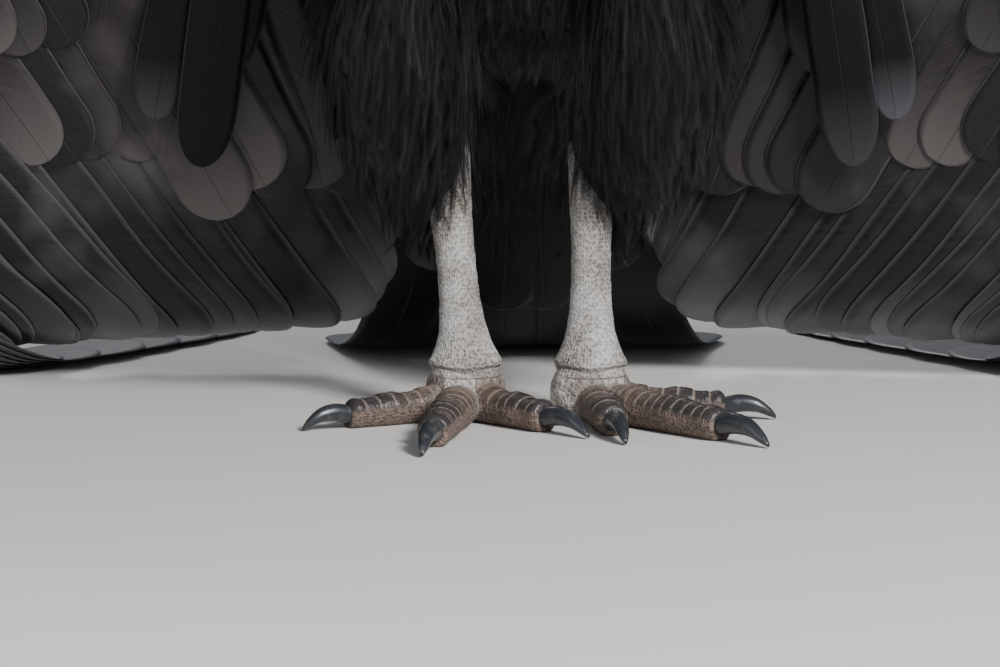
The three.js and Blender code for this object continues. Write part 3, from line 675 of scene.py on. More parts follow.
def hand_rings(sheet, grow=0.0, count=8):
    across = unit(np.array([hand_tip[1] - wrist[1], wrist[0] - hand_tip[0]]))
    rings = []
    for t, wide, thick, rise in hand_sections:
        u, s = lerp(wrist, hand_tip, t)
        h = (first_primary + (primaries - 1) * max(t, 0)) * layer + rise
        angle = 2 * np.pi * (np.arange(count) + 0.5) / count
        off = (wide + grow) * np.cos(angle)
        height = h + (thick + grow) * np.sin(angle)
        rings.append(sheet.place(u + across[0] * off, s + across[1] * off, height))
    return rings


def tail_rings(grow=0.0, count=12):
    angle = 2 * np.pi * np.arange(count) / count
    return [tail_sheet.place((wide + grow) * np.cos(angle), s, h + 4 + (thick + grow) * np.sin(angle))
            for s, wide, thick, h in tail_sections]


print("arm rings:", len(arm_rings(1, wing_sheet(1))), "hand rings:", len(hand_sections))

# %% [markdown]
# Lofts that only cross each other would show hard lines where they meet. They are turned into
# one even mesh instead, whose creases are then eased, as skin would bridge them.


# %% Fuse the body's skin
def in_place_loft(rings):
    points, quads, tris = loft_arrays(rings)
    return in_place(points), quads, tris


sides = {"left": 1, "right": -1}
sheets = {name: wing_sheet(side) for name, side in sides.items()}
body_lofts = [in_place_loft(body_rings(torso_curve, finer(torso_sections, 3), 40, -coat_depth)),
              in_place_loft(tail_rings(-5))]
leg_places = {"left": (39, 40), "right": (35, 47)}
for name, side in sides.items():
    body_lofts.append(in_place_loft(level_rings(side, finer(thigh_sections, 3), 28, -13)))
    foot, hock = leg_places[name]
    cuff = [(z, hock + x, y, half, deep) for z, x, y, half, deep in finer(hock_cuff, 3)]
    body_lofts.append(in_place_loft(level_rings(side, cuff, 20)))
    body_lofts.append(in_place_loft(arm_rings(side, sheets[name], -5)))
    body_lofts.append(in_place_loft(hand_rings(sheets[name], -4)))
body = one_skin("body_skin", body_lofts, 6 * mm, 4)
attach(body, "root")
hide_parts("torso", *[f"thigh_{name}" for name in sides])

# %% [markdown]
# ## The big feathers of the wings and tail
# A flight feather is a long vane, stiff and narrow in front of its shaft and broad behind it. Its
# outline comes from a length, a width and a course over the sheet. The vane is a thin closed
# blade: a grid of points on its underside and one on its upper side, joined round the edge. Each
# is tilted a little like a slat of a blind, and each next one starts a layer higher, so that
# neighbours overlap cleanly and their edges catch the light.

# %% One vane
vane_columns = 8
vane_thickness = 0.5
vane_camber = 0.001
shaft_rise = 0.8


def vane(sheet, u, s, h, slope, length, width, bend=0.0, lead=0.5, quill=0.3, tilt=-0.07, rows=34,
         blunt=0.62):
    """Grids of points (mm) for the underside and upper side, and the feather's own flat map."""
    t = 1 - (1 - np.linspace(0, 1, rows + 1)) ** 1.6
    course = np.radians(slope + bend * t)
    step = np.diff(t, prepend=0)
    middle_u = u - np.cumsum(np.cos(course) * length * step)
    middle_s = s + np.cumsum(np.sin(course) * length * step)
    tip = blunt * width / length
    rounded = np.sqrt(np.clip(1 - (np.clip(t - 1 + tip, 0, None) / tip) ** 2.2, 0.0008, 1))
    waver = 1 + 0.015 * np.sin(t * rng.uniform(15, 25) + rng.uniform(0, 6))
    full = width * lerp(quill, 1, smooth(t, 0, 0.3)) * rounded * waver
    x = np.linspace(-1, 1, vane_columns + 1)
    reach = full[:, None] * np.where(x < 0, x * (1 - lead), x * lead)[None, :]
    place_u = middle_u[:, None] + np.sin(course)[:, None] * reach
    place_s = middle_s[:, None] + np.cos(course)[:, None] * reach
    lift = h + tilt * reach - vane_camber * reach**2
    shaft = shaft_rise * (1 - 0.8 * t)[:, None] * (np.abs(x) < 0.01)[None, :]
    half = 0.5 * vane_thickness * (1 - 0.6 * np.abs(x)[None, :]) * (1 - 0.4 * t[:, None])
    under = sheet.place(place_u, place_s, lift + half + shaft)
    over = sheet.place(place_u, place_s, lift - half - shaft)
    flat = np.stack(np.broadcast_arrays(0.5 + 0.5 * x[None, :], t[:, None]), -1)
    return under, over, flat


print("a vane is", vane_thickness, "mm thick, in", vane_columns, "columns")

# %% [markdown]
# A blade this thin leaves little room between its two sides. If their four-cornered faces were
# cut into triangles along different diagonals, the sides would pass through each other and show
# as specks. So both sides are cut into triangles here, along the same diagonal.


# %% The faces of a blade
def grid_faces(rows, columns):
    """Four-cornered faces between the points of a grid."""
    i, j = np.meshgrid(np.arange(rows - 1), np.arange(columns - 1), indexing="ij")
    a = (i * columns + j).ravel()
    return np.stack([a, a + 1, a + columns + 1, a + columns], 1)


def halved(quads):
    """Triangles, all cut along the same diagonal, so that two skins close together never cross."""
    return np.concatenate([quads[:, [0, 1, 2]], quads[:, [0, 2, 3]]])


def blade_faces(rows, columns, turned):
    """Faces of a closed blade whose underside grid comes first and whose upper grid follows."""
    n = rows * columns
    under = halved(grid_faces(rows, columns))
    over = under[:, ::-1] + n
    rim = np.concatenate([np.arange(columns), columns * np.arange(1, rows) + columns - 1,
                          n - 2 - np.arange(columns - 1), columns * np.arange(rows - 2, 0, -1)])
    after = np.roll(rim, -1)
    edge = halved(np.stack([rim, rim + n, after + n, after], 1))
    faces = np.concatenate([under, over, edge])
    kinds = np.concatenate([np.zeros(len(under)), np.ones(len(over)), np.zeros(len(edge))])
    return (faces[:, ::-1] if turned else faces), kinds


print("a blade of 34 rows has", len(blade_faces(35, vane_columns + 1, False)[0]), "triangles")

# %% [markdown]
# Hundreds of feathers as objects of their own would be slow to handle, so each row becomes one
# object. Every side of every feather gets a cell of its own on the flat map, and every feather
# one tone.


# %% A piece of many feathers
def feather_piece(name, vanes, finishes, turned=False):
    """One object from many vanes. Finishes are those of the underside and the upper side."""
    points, faces, flats, bakes, tones, kinds, start = [], [], [], [], [], [], 0
    across = math.ceil(math.sqrt(2 * len(vanes)))
    for k, (under, over, flat) in enumerate(vanes):
        rows, columns = under.shape[:2]
        made, kind = blade_faces(rows, columns, turned)
        points += [under.reshape(-1, 3), over.reshape(-1, 3)]
        faces.append(made + start)
        flats += [flat.reshape(-1, 2)] * 2
        for half in (0, 1):
            cell = np.array(divmod(2 * k + half, across)[::-1], float)
            bakes.append((cell + 0.05 + 0.9 * flat.reshape(-1, 2)) / across)
        tones.append(np.full(2 * rows * columns, rng.random()))
        kinds.append(kind)
        start += 2 * rows * columns
    placed = in_place(np.concatenate(points))
    placed[:, 2] = np.maximum(placed[:, 2], floor_gap * mm)
    made = make_mesh(name, placed, faces,
                     {"OFBake": np.concatenate(bakes), "FeatherUV": np.concatenate(flats)},
                     {"tone": np.concatenate(tones)})
    for material in finishes:
        made.data.materials.append(material)
    if len(finishes) > 1:
        made.data.polygons.foreach_set("material_index", np.concatenate(kinds).astype(np.int32))
    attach(made, "root")
    print(name, len(vanes), "feathers,", len(made.data.polygons), "triangles")
    return made


def row(sheet, count, describe):
    """A row of feathers, each described by its share of the way along the row."""
    return [vane(sheet, **describe(i / (count - 1), i)) for i in range(count)]


def along_bone(start, end):
    """Places on the sheet from one joint to the next, by the share of the way."""
    def place(f):
        u, s = lerp(start, end, f)
        return {"u": u, "s": s}
    return place


bone_at = along_bone(elbow, wrist)
hand_at = along_bone(wrist, hand_tip)
upper_arm_at = along_bone(elbow, upper_arm_end)


def jitter(spread):
    """Chance between minus and plus the spread."""
    return rng.uniform(-spread, spread)


print("halfway along the forearm:", bone_at(0.5))

# %% [markdown]
# The long feathers of the hand are the primaries, those of the forearm the secondaries, and the
# few of the upper arm the tertials. The secondaries of an adult are white above, with a dark end.
# From the elbow to the wrist their length and slope change little by little, so each row is
# described by a rule, and a little chance makes it natural.

# %% The flight feathers

primary_lengths = [452, 478, 504, 530, 552, 572, 584, 584, 570, 540]


def secondary(f, i):
    return dict(bone_at(lerp(0.085, 0.92, f)), h=layer * 12 * f, slope=lerp(59, 47, f) + jitter(1.2),
                bend=-2, length=lerp(385, 420, f) + jitter(9), width=lerp(60, 56, f) + jitter(2),
                lead=0.42, blunt=0.85)


def primary(f, i):
    return dict(hand_at(lerp(0.06, 0.97, f)), h=layer * (first_primary + i), slope=lerp(42, 48, f),
                bend=lerp(0, -8, f), length=primary_lengths[i] + jitter(5), width=lerp(52, 46, f),
                lead=lerp(0.4, 0.3, f), tilt=-0.05, rows=44, blunt=0.9)


def tertial(f, i):
    return dict(upper_arm_at(lerp(0.15, 0.85, f)), h=-layer * (0.8 + 2.4 * f),
                slope=lerp(60, 68, f) + jitter(1), length=lerp(372, 335, f), width=56, lead=0.45,
                tilt=-0.05)


for name, side in sides.items():
    sheet = sheets[name]
    piece = feather_piece(f"secondaries_{name}", row(sheet, 15, secondary), [under_wing, white_base],
                          side < 0)
    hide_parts(f"wing_forearm_{name}")
    piece = feather_piece(f"primaries_{name}", row(sheet, primaries, primary), [under_wing, upper_wing],
                          side < 0)
    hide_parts(f"wing_hand_{name}")
    piece = feather_piece(f"tertials_{name}", row(sheet, 5, tertial), [under_wing, upper_wing],
                          side < 0)
    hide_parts(f"wing_upper_{name}")

# %% [markdown]
# Coverts are the shorter feathers that hide the quills of the long ones, like tiles. There are
# rows of them on both sides of the wing. They are the same vanes again, in lists of rows: each row
# has a count, a stretch of bone, and measures that run from its first feather to its last.


# %% The coverts over the quills
def covert_row(count, f0, f1, h, slope, length, width, at=bone_at, **more):
    """A row of coverts whose measures run from the first to the second of each pair."""
    def describe(f, i):
        return dict(at(lerp(f0, f1, f)), h=lerp(*h, f), slope=lerp(*slope, f) + jitter(2.2),
                    length=lerp(*length, f) + jitter(9), width=lerp(*width, f) + jitter(2.5), quill=0.7,
                    rows=22, **more)
    return count, describe


underwing_rows = [
    covert_row(13, 0.085, 0.93, (5, 13.2), (60, 49), (205, 152), (46, 42)),
    covert_row(13, 0.09, 0.9, (10, 16), (62, 52), (112, 92), (42, 38), tilt=-0.09),
    covert_row(9, 0.05, 0.95, (21.3, 29), (43, 49), (160, 195), (42, 40), hand_at),
    covert_row(7, 0.05, 1.3, (7, 3), (60, 78), (235, 300), (48, 48), upper_arm_at),
]
white_rows = [covert_row(15, 0.085, 0.92, (-4.5, 5.6), (58, 48), (180, 150), (46, 46), tilt=-0.04)]
dark_rows = [
    covert_row(13, 0.1, 0.9, (-9.6, 1.5), (60, 52), (108, 88), (48, 48), tilt=-0.04),
    covert_row(6, 0.3, 0.97, (13, 18), (46, 49), (160, 150), (38, 38), hand_at, tilt=-0.04),
    covert_row(9, 0.02, 1.2, (-7, -11.5), (62, 80), (190, 240), (54, 60), upper_arm_at, tilt=-0.04),
]
alula = covert_row(4, 0.02, 0.22, (32, 26), (57, 57), (152, 116), (27, 25), hand_at, tilt=0.03)

for name, side in sides.items():
    sheet = sheets[name]
    under = [made for count, describe in underwing_rows for made in row(sheet, count, describe)]
    feather_piece(f"underwing_coverts_{name}", under, [under_covert, under_wing], side < 0)
    for title, rows, top in (("white", white_rows, white_panel), ("dark", dark_rows, upper_wing)):
        over = [made for count, describe in rows for made in row(sheet, count, describe)]
        feather_piece(f"{title}_coverts_{name}", over, [under_wing, top], side < 0)
    feather_piece(f"alula_{name}", row(sheet, *alula), [black_vane], side < 0)

# %% [markdown]
# A few long, dark plumes hang from each shoulder in front of the wing, close to the thigh. They
# are too few for a rule, so each one's place and measures stand in a list.

# %% The plumes in front of the thighs
plumes = [
    # place outwards and down the sheet, slope, length, width
    (150, 4, 99, 190, 36), (186, 26, 101, 196, 34), (162, -12, 98, 262, 37),
]


def plume(f, i):
    u, s, slope, length, width = plumes[i]
    return dict(u=u, s=s, h=15 + 4 * i, slope=slope + jitter(1), bend=-3, length=length, width=width,
                quill=0.6, tilt=0.02, rows=30, blunt=1.1)


for name, side in sides.items():
    feather_piece(f"plumes_{name}", row(sheets[name], len(plumes), plume), [black_vane],
                  side < 0)

# %% [markdown]
# Twelve feathers make the tail. They fan out a little from its root, left and right by turns, so
# each lies over the last. Two more close the gap in the middle, and short coverts hide the roots
# on both sides.

# %% The tail
tail_length = 350
tail_root = 28
straight_down = 90
tail_vanes = []
for turn, flip in ((1, 0), (-1, 1)):
    for i in range(6):
        f = i / 5
        tail_vanes.append(vane(tail_sheet, turn * lerp(4, 34, f), tail_root, layer * (2 * i + flip),
                               straight_down + turn * lerp(1.6, 14, f), tail_length - tail_root - 4 * i,
                               46, tilt=0.0, rows=36))
for turn, h in ((1, 9.2), (-1, 9.9)):
    tail_vanes.append(vane(tail_sheet, turn * 8, tail_root, h, straight_down + turn * 1.5,
                           tail_length - 32, 44, tilt=0.0, rows=36))
for h, long, count in ((-8, 150, 6), (18, 176, 6)):
    for i in range(count):
        f = i / (count - 1)
        level = h + math.copysign(layer, h) * abs(2 * i - count + 1.2) * (-1 if h > 0 else 1)
        tail_vanes.append(vane(tail_sheet, lerp(-25, 25, f), 8, level, straight_down + lerp(-13, 13, f),
                               long - 60 * abs(f - 0.5), 44, quill=0.7, tilt=0.0, rows=16))
tail = feather_piece("tail_feathers", tail_vanes, [black_vane])
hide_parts("tail")

# %% [markdown]
# ## The coat of small feathers
# On the belly and thighs the feathers are loose and silky, more like hair: their barbs don't
# hook together, and each feather is a fan of fine threads. Hair strands could make them, but a
# mesh is a shape that every other use of the model can show. One fan is modelled, then set
# thousands of times by arrays, each turned to the lie of the coat, scaled, bent and toned by
# chance.


# %% One fan of loose barbs
def fan(barbs, wide, slant, thin=0.02, ragged=0.12):
    """Barbs as thin tapered blades off a shaft: x across, y along 0 to 1, z off the coat."""
    points, faces, steps, droop = [], [], 2, 0.25
    shaft = np.linspace(0, 0.93, 5)
    for y0, y1 in zip(shaft, shaft[1:]):
        k = len(points)
        w0, w1 = thin * (1 - 0.7 * y0), thin * (1 - 0.7 * y1)
        points += [(-w0, y0, 0), (w0, y0, 0), (w1, y1, 0), (-w1, y1, 0)]
        faces += [(k, k + 1, k + 2), (k, k + 2, k + 3)]
    for side in (-1, 1):
        for i in range(barbs):
            t = (i + 0.5 + rng.uniform(-0.3, 0.3)) / barbs
            root = 0.06 + 0.87 * t
            long = wide * math.sin(math.pi * min(0.12 + 0.8 * t, 1)) ** 0.6
            long *= rng.uniform(1 - 3 * ragged, 1 + ragged)
            angle = math.radians(slant + rng.uniform(-6, 6) - 14 * t)
            k = len(points)
            for j in range(steps):
                f = j / steps
                bend = angle * (1 - 0.55 * f)
                x = side * long * f * math.sin(bend) * 1.25
                y = root + long * f * math.cos(bend)
                half = thin * 0.9 * (1 - 0.6 * f)
                z = -droop * (x * x) + rng.uniform(-0.01, 0.02) * f
                points += [(x, y - half, z), (x, y + half, z)]
            bend = angle * 0.45
            x, y = side * long * math.sin(bend) * 1.25, root + long * math.cos(bend)
            points.append((x, y, -droop * x * x - 0.02))
            for j in range(steps - 1):
                a = k + 2 * j
                faces += [(a, a + 1, a + 3), (a, a + 3, a + 2)]
            a = k + 2 * (steps - 1)
            faces.append((a, a + 1, a + 2))
    return np.array(points), np.array(faces)


# %% [markdown]
# On the back and the arms the small feathers lie flat and closed, like scales. Each is a single
# leaf with a rounded end. It needs few faces, because thousands of them are set.


# %% One small closed vane
def leaf(wide, rows, columns, droop):
    """A small closed vane with a rounded end, for the coverts that lie flat."""
    t = 1 - (1 - np.linspace(0, 1, rows + 1)) ** 1.7
    end = np.clip((t - 0.55) / 0.45, 0, 1)
    width = wide * lerp(0.55, 1, smooth(t, 0, 0.4)) * np.sqrt(1 - 0.985 * end**2.2)
    px = width[:, None] * np.linspace(-1, 1, columns + 1)[None, :]
    points = np.stack(np.broadcast_arrays(px, t[:, None], -droop * px**2), -1).reshape(-1, 3)
    return points, halved(grid_faces(rows + 1, columns + 1))


silky_fans = [fan(25, 0.42, 36, thin=0.012) for _ in range(6)]
loose_fans = [fan(16, 0.45, 42, thin=0.016) for _ in range(4)]
small_leaves = [leaf(0.46, 7, 4, 0.3) for _ in range(2)]
print("triangles in a fan and a leaf:", len(silky_fans[0][1]), len(small_leaves[0][1]))

# %% [markdown]
# Feathers grow from the skin at nearly even distances. Random points alone would leave clumps and
# bald spots, so more points than needed are drawn, and each is dropped if it falls too near one
# that is kept. Each root also notes its place on the skin's flat map, for its tuft to share.


# %% Sow roots over a skin
def unwrap(thing):
    """A flat map of a skin's own shape, kept as OFBake."""
    bpy.ops.object.select_all(action="DESELECT")
    thing.select_set(True)
    bpy.context.view_layer.objects.active = thing
    if not thing.data.uv_layers:
        thing.data.uv_layers.new(name="OFBake")
    bpy.ops.object.mode_set(mode="EDIT")
    bpy.ops.mesh.select_all(action="SELECT")
    bpy.ops.uv.smart_project(angle_limit=math.radians(66), island_margin=0.004)
    bpy.ops.object.mode_set(mode="OBJECT")


neighbours = list(itertools.product((-1, 0, 1), repeat=3))
most_points = 220000


def crowded(place, gap, key, cells, places):
    """Whether a kept place lies nearer than the gap, in the cells round a place's own."""
    for dx, dy, dz in neighbours:
        for other in cells.get((key[0] + dx, key[1] + dy, key[2] + dz), ()):
            if ((places[other] - place) ** 2).sum() < gap * gap:
                return True
    return False


def thinned(places, gaps):
    """Which places to keep, so that each stands its gap away from those kept before it."""
    cells, kept = {}, []
    keys = np.floor(places / gaps.max()).astype(int)
    for k, (key, place, gap) in enumerate(zip(map(tuple, keys), places, gaps)):
        if not crowded(place, gap, key, cells, places):
            cells.setdefault(key, []).append(k)
            kept.append(k)
    return kept


class Field:
    """The triangles of a skin with their normals, areas and places on its flat map."""

    def __init__(self, thing):
        mesh = thing.data
        mesh.calc_loop_triangles()
        count = len(mesh.loop_triangles)
        corners, loops = np.empty(count * 3, np.int32), np.empty(count * 3, np.int32)
        mesh.loop_triangles.foreach_get("vertices", corners)
        mesh.loop_triangles.foreach_get("loops", loops)
        uvs = np.empty(len(mesh.loops) * 2, np.float32)
        mesh.uv_layers["OFBake"].data.foreach_get("uv", uvs)
        self.points = points_of(thing)[corners].reshape(-1, 3, 3)
        self.normals = normals_of(thing)[corners].reshape(-1, 3, 3)
        self.uvs = uvs.reshape(-1, 2)[loops].reshape(-1, 3, 2)
        cross = np.cross(self.points[:, 1] - self.points[:, 0], self.points[:, 2] - self.points[:, 0])
        self.areas = 0.5 * np.linalg.norm(cross, axis=1)

    def sow(self, density, spacing):
        """Roots about spacing(p) apart where density(p, n) is over chance, with normals and flat places."""
        middles, facing = self.points.mean(1), unit(self.normals.mean(1))
        weight = self.areas * (density(middles, facing) > 0)
        share = weight / spacing(middles) ** 2
        count = int(min(share.sum() * 5, most_points))
        chosen = rng.choice(len(weight), count, p=share / share.sum())
        a, b = np.sqrt(rng.random(count)), rng.random(count)
        mix = np.stack([1 - a, a * (1 - b), a * b], 1)[:, :, None]
        places = (self.points[chosen] * mix).sum(1)
        normals = unit((self.normals[chosen] * mix).sum(1))
        flats = (self.uvs[chosen] * mix).sum(1)
        keep = rng.random(count) < density(places, normals)
        places, normals, flats = places[keep], normals[keep], flats[keep]
        taken = thinned(places, spacing(places))
        return places[taken], normals[taken], flats[taken]


unwrap(body)
body_field = Field(body)
body.data.materials.append(silky_black)
print("skin of the body:", round(float(body_field.areas.sum()), 3), "square metres")

# %% [markdown]
# A tuft stands on its root, points along the lie of the coat and lifts a little off the skin. Its
# tip bends back towards the skin and sags under its weight. Roots where the lie points straight
# out of the skin are left bare, since a tuft there would stand off like a stray.

# %% Set tufts on the roots
sink = 3 * mm
patch_size = 0.003
most_triangles = 199000


def coat_piece(name, blades, roots, lie, length, width, lift, material, sag=0.0, bend=0.16):
    """Sets one of a few blades at every root, along the lie of the coat."""
    way = unit(lie(*roots[:2]))
    way -= roots[1] * (way * roots[1]).sum(1, keepdims=True)
    lies_well = np.linalg.norm(way, axis=1) > 0.4
    places, normals, flats = (part[lies_well] for part in roots)
    way = unit(way[lies_well])
    turn = rng.normal(0, 0.14, len(places))
    cross = np.cross(way, normals)
    way = unit(way * np.cos(turn)[:, None] + cross * np.sin(turn)[:, None])
    rise = np.radians(lift(places) + rng.normal(0, 3, len(places)))
    along = way * np.cos(rise)[:, None] + normals * np.sin(rise)[:, None]
    across = np.cross(way, normals)
    off = np.cross(across, along)
    long = length(places) * rng.uniform(0.85, 1.15, len(places))
    wide = width(places) * rng.uniform(0.85, 1.15, len(places))
    kind = rng.integers(0, len(blades), len(places))
    tone = np.clip(rng.normal(0.5, 0.22, len(places)), 0, 1)
    points, faces, bakes, flat_maps, tones, start = [], [], [], [], [], 0
    for which, (shape, tris) in enumerate(blades):
        mine = np.flatnonzero(kind == which)
        x = shape[None, :, 0:1] * wide[mine, None, None]
        y = shape[None, :, 1:2] * long[mine, None, None]
        z = shape[None, :, 2:3] * wide[mine, None, None]
        base = places[mine] - normals[mine] * sink
        made = base[:, None] + across[mine, None] * x + along[mine, None] * y + off[mine, None] * z
        along_blade = shape[None, :, 1:2]
        bending = rng.uniform(0.5, 1.4, len(mine))[:, None, None] * bend
        made -= normals[mine, None] * (bending * y * along_blade)
        made[..., 2:3] -= sag * y * along_blade
        points.append(made.reshape(-1, 3))
        n = len(shape)
        faces.append((tris[None] + (start + n * np.arange(len(mine)))[:, None, None]).reshape(-1, 3))
        patch = np.stack([np.clip(shape[:, 0], -0.5, 0.5), np.clip(shape[:, 1], 0, 1) - 0.5], -1)
        patch = patch_size * patch
        bakes.append((flats[mine][:, None] + patch[None]).reshape(-1, 2))
        unit_flat = np.stack([np.clip(0.5 + 0.5 * shape[:, 0], 0, 1), np.clip(shape[:, 1], 0, 1)], -1)
        flat_maps.append(np.tile(unit_flat, (len(mine), 1)))
        tones.append(np.repeat(tone[mine], n))
        start += n * len(mine)
    made = make_mesh(name, np.concatenate(points), [np.concatenate(faces)],
                     {"OFBake": np.concatenate(bakes), "FeatherUV": np.concatenate(flat_maps)},
                     {"tone": np.concatenate(tones)})
    made.data.materials.append(material)
    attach(made, "root")
    print(name, len(places), "tufts,", len(made.data.polygons), "triangles")
    assert len(made.data.polygons) < most_triangles
    return made


# %% [markdown]
# The coat falls downwards and a little back. On the belly it also parts to both sides. The front
# of the trunk gets silky fans, the back and the upper side of the arms get leaves, and the arms'
# underside gets looser fans. Measures of place are in metres here, as on the finished skin.


# %% Where the coat grows, and which way it lies
half_trunk = 0.165
silky_top = 0.40
thigh_top = 0.21


def front_share(places, normals):
    return smooth(-normals[:, 1], -0.35, 0.25)


def on_trunk(places):
    return (np.abs(places[:, 0]) < half_trunk).astype(float)


def belly_lie(places, normals):
    outward = places * [1, 0, 0] * 0.9
    return np.array([0, 0.35, -1.0]) + outward


def back_lie(places, normals):
    return np.tile([0, 0.75, -1.0], (len(places), 1))


def even(value):
    """The same measure at every place."""
    return lambda places: np.full(len(places), value)


def silky(places, normals):
    """The belly's front, and the lower thighs all round."""
    facing = np.where(places[:, 2] < thigh_top, -0.9, 0.3)
    return on_trunk(places) * (front_share(places, normals) > facing) * (places[:, 2] < silky_top)


def leafy(places, normals):
    """The trunk wherever it isn't silky."""
    behind = (front_share(places, normals) <= 0.3) | (places[:, 2] >= silky_top)
    return on_trunk(places) * behind * (places[:, 2] >= thigh_top)


def arm_lie(places, normals):
    return np.tile([0, 0.45, -1.0], (len(places), 1))


print("half of the trunk's width:", half_trunk, "m")

# %% The coat of the trunk
belly_roots = body_field.sow(silky, lambda p: np.where(p[:, 2] < 0.28, 6.2 * mm, 10 * mm))
belly_parts = 3
for k in range(belly_parts):
    share = tuple(part[k::belly_parts] for part in belly_roots)
    coat_piece(f"belly_coat_{k + 1}", silky_fans, share, belly_lie, even(42 * mm), even(23 * mm), even(17),
               silky_black, sag=0.10, bend=0.10)
back_roots = body_field.sow(leafy, even(11.5 * mm))
coat_piece("back_coat", small_leaves, back_roots, back_lie, even(46 * mm), even(34 * mm), even(17),
           black_vane, bend=0.07)

# %% The coat of the arms
over_roots = body_field.sow(lambda p, n: (1 - on_trunk(p)) * (front_share(p, n) <= 0.45), even(10 * mm))
coat_piece("arm_coat_over", small_leaves, over_roots, arm_lie, even(36 * mm), even(28 * mm), even(15),
           black_vane, bend=0.05)
under_roots = body_field.sow(lambda p, n: (1 - on_trunk(p)) * (front_share(p, n) > 0.3), even(9.5 * mm))
coat_piece("arm_coat_under", loose_fans, under_roots, arm_lie, even(34 * mm), even(20 * mm), even(15),
           silky_black, bend=0.04)

# %% [markdown]
# ## Legs and feet
# A condor's shank is bare and covered with small dark scales. The bird cools itself by wetting
# its legs, and what dries there leaves a chalky white net between the scales. The toes are
# brown, with broad dark plates across their tops. The forms are lofts fused to one skin. The
# plates are part of the toes' rings, so they stay crisp, and the small scales are left to bump.


# %% Shapes of a leg
pad_back = -3.0
shank = [
    # height, share of the way from foot to hock, place backwards, half width, half depth
    (30.3, 0, -2, 21, 18), (34, 0, -1, 21.4, 18.4), (38, 0, 0, 19.5, 17.4), (50, 0.1, 6, 14.8, 15.2),
    (70, 0.3, 15, 12.2, 13.6), (98, 0.55, 27, 11.8, 13.5), (124, 0.8, 36, 13.2, 15), (160, 1, 44, 14.5, 16),
]
pad = [(0.2, 17, 16), (3, 20.5, 19.5), (7, 23, 22), (16, 24, 22), (24, 22.5, 20), (30, 19, 17.2)]
toe_shapes = [
    # length, radius at the root and end, claw length, plates
    (42, 10.5, 8.5, 26, 4), (74, 12, 9.5, 38, 8), (118, 13, 10, 41, 13), (80, 11.5, 8.5, 30, 8),
]
toe_headings = {"left": (195, 10, 40, 86), "right": (165, 40, -9, -60)}


def toe_heading(degrees):
    """A level direction: 0 points forwards, 90 to the bird's left."""
    angle = math.radians(degrees)
    return np.array([math.sin(angle), -math.cos(angle), 0])


def toe_ring(centre, along, half, up, rise, count=44):
    """A ring square to a heading, flat where it rests on the floor. Rise lifts only its top."""
    across = np.array([along[1], -along[0], 0])
    angle = 2 * np.pi * np.arange(count) / count
    top = smooth(np.sin(angle), 0.12, 0.5)
    ring = centre + np.outer(half * np.cos(angle), across)
    ring[:, 2] += np.where(np.sin(angle) > 0, up, half) * np.sin(angle) + rise * top
    ring += np.outer(rise * 0.35 * np.cos(angle) * top, across)
    ring[:, 2] = np.maximum(ring[:, 2], 0.15)
    return ring


first_plate = 0.16


def plate_profile(t, plates):
    """How far a plate stands up at a share of the toe, and the share of the way along that plate."""
    f = np.clip((t - first_plate) / (1 - first_plate), 0, 1) ** 0.86 * plates
    part = f % 1
    edge = smooth(part, 0.0, 0.16) * (1 - smooth(part, 0.9, 1.0))
    return np.where(t < first_plate, 0, edge * (0.35 + 0.65 * part)), part


ring_step = 0.7


def toe_rings(start, along, length, root, end, plates):
    rings = []
    for t in np.linspace(0, 1, int(length / ring_step)):
        knuckle = 1 + 0.05 * math.cos(2 * math.pi * 3 * t)
        closing = math.sqrt(max(1 - max((t - 0.93) / 0.07, 0) ** 2 * 0.45, 0))
        radius = lerp(root, end, t) * knuckle * closing
        lift = float(plate_profile(np.array(t), plates)[0]) * lerp(0.7, 1.5, t)
        centre = start + along * length * t
        centre[2] = radius * 0.88
        rings.append(toe_ring(centre, along, radius, radius * 0.98, lift))
    return rings


def shank_rings(side, foot, hock):
    sections = [(z, lerp(foot, hock, share), back, half, deep) for z, share, back, half, deep in shank]
    return level_rings(side, finer(sections, 4), 40)


print("rings in the longest toe:", int(max(length for length, *_ in toe_shapes) / ring_step))

# %% [markdown]
# The finish has to know what is shank, toe, plate or groove, and where round the leg or toe each
# point lies, so that scales follow the limb. Numbers kept on the skin's points tell it.


# %% Marks on a leg's skin
around_shank, around_toe, toe_offset = 17, 9, 200
crease_height = 26


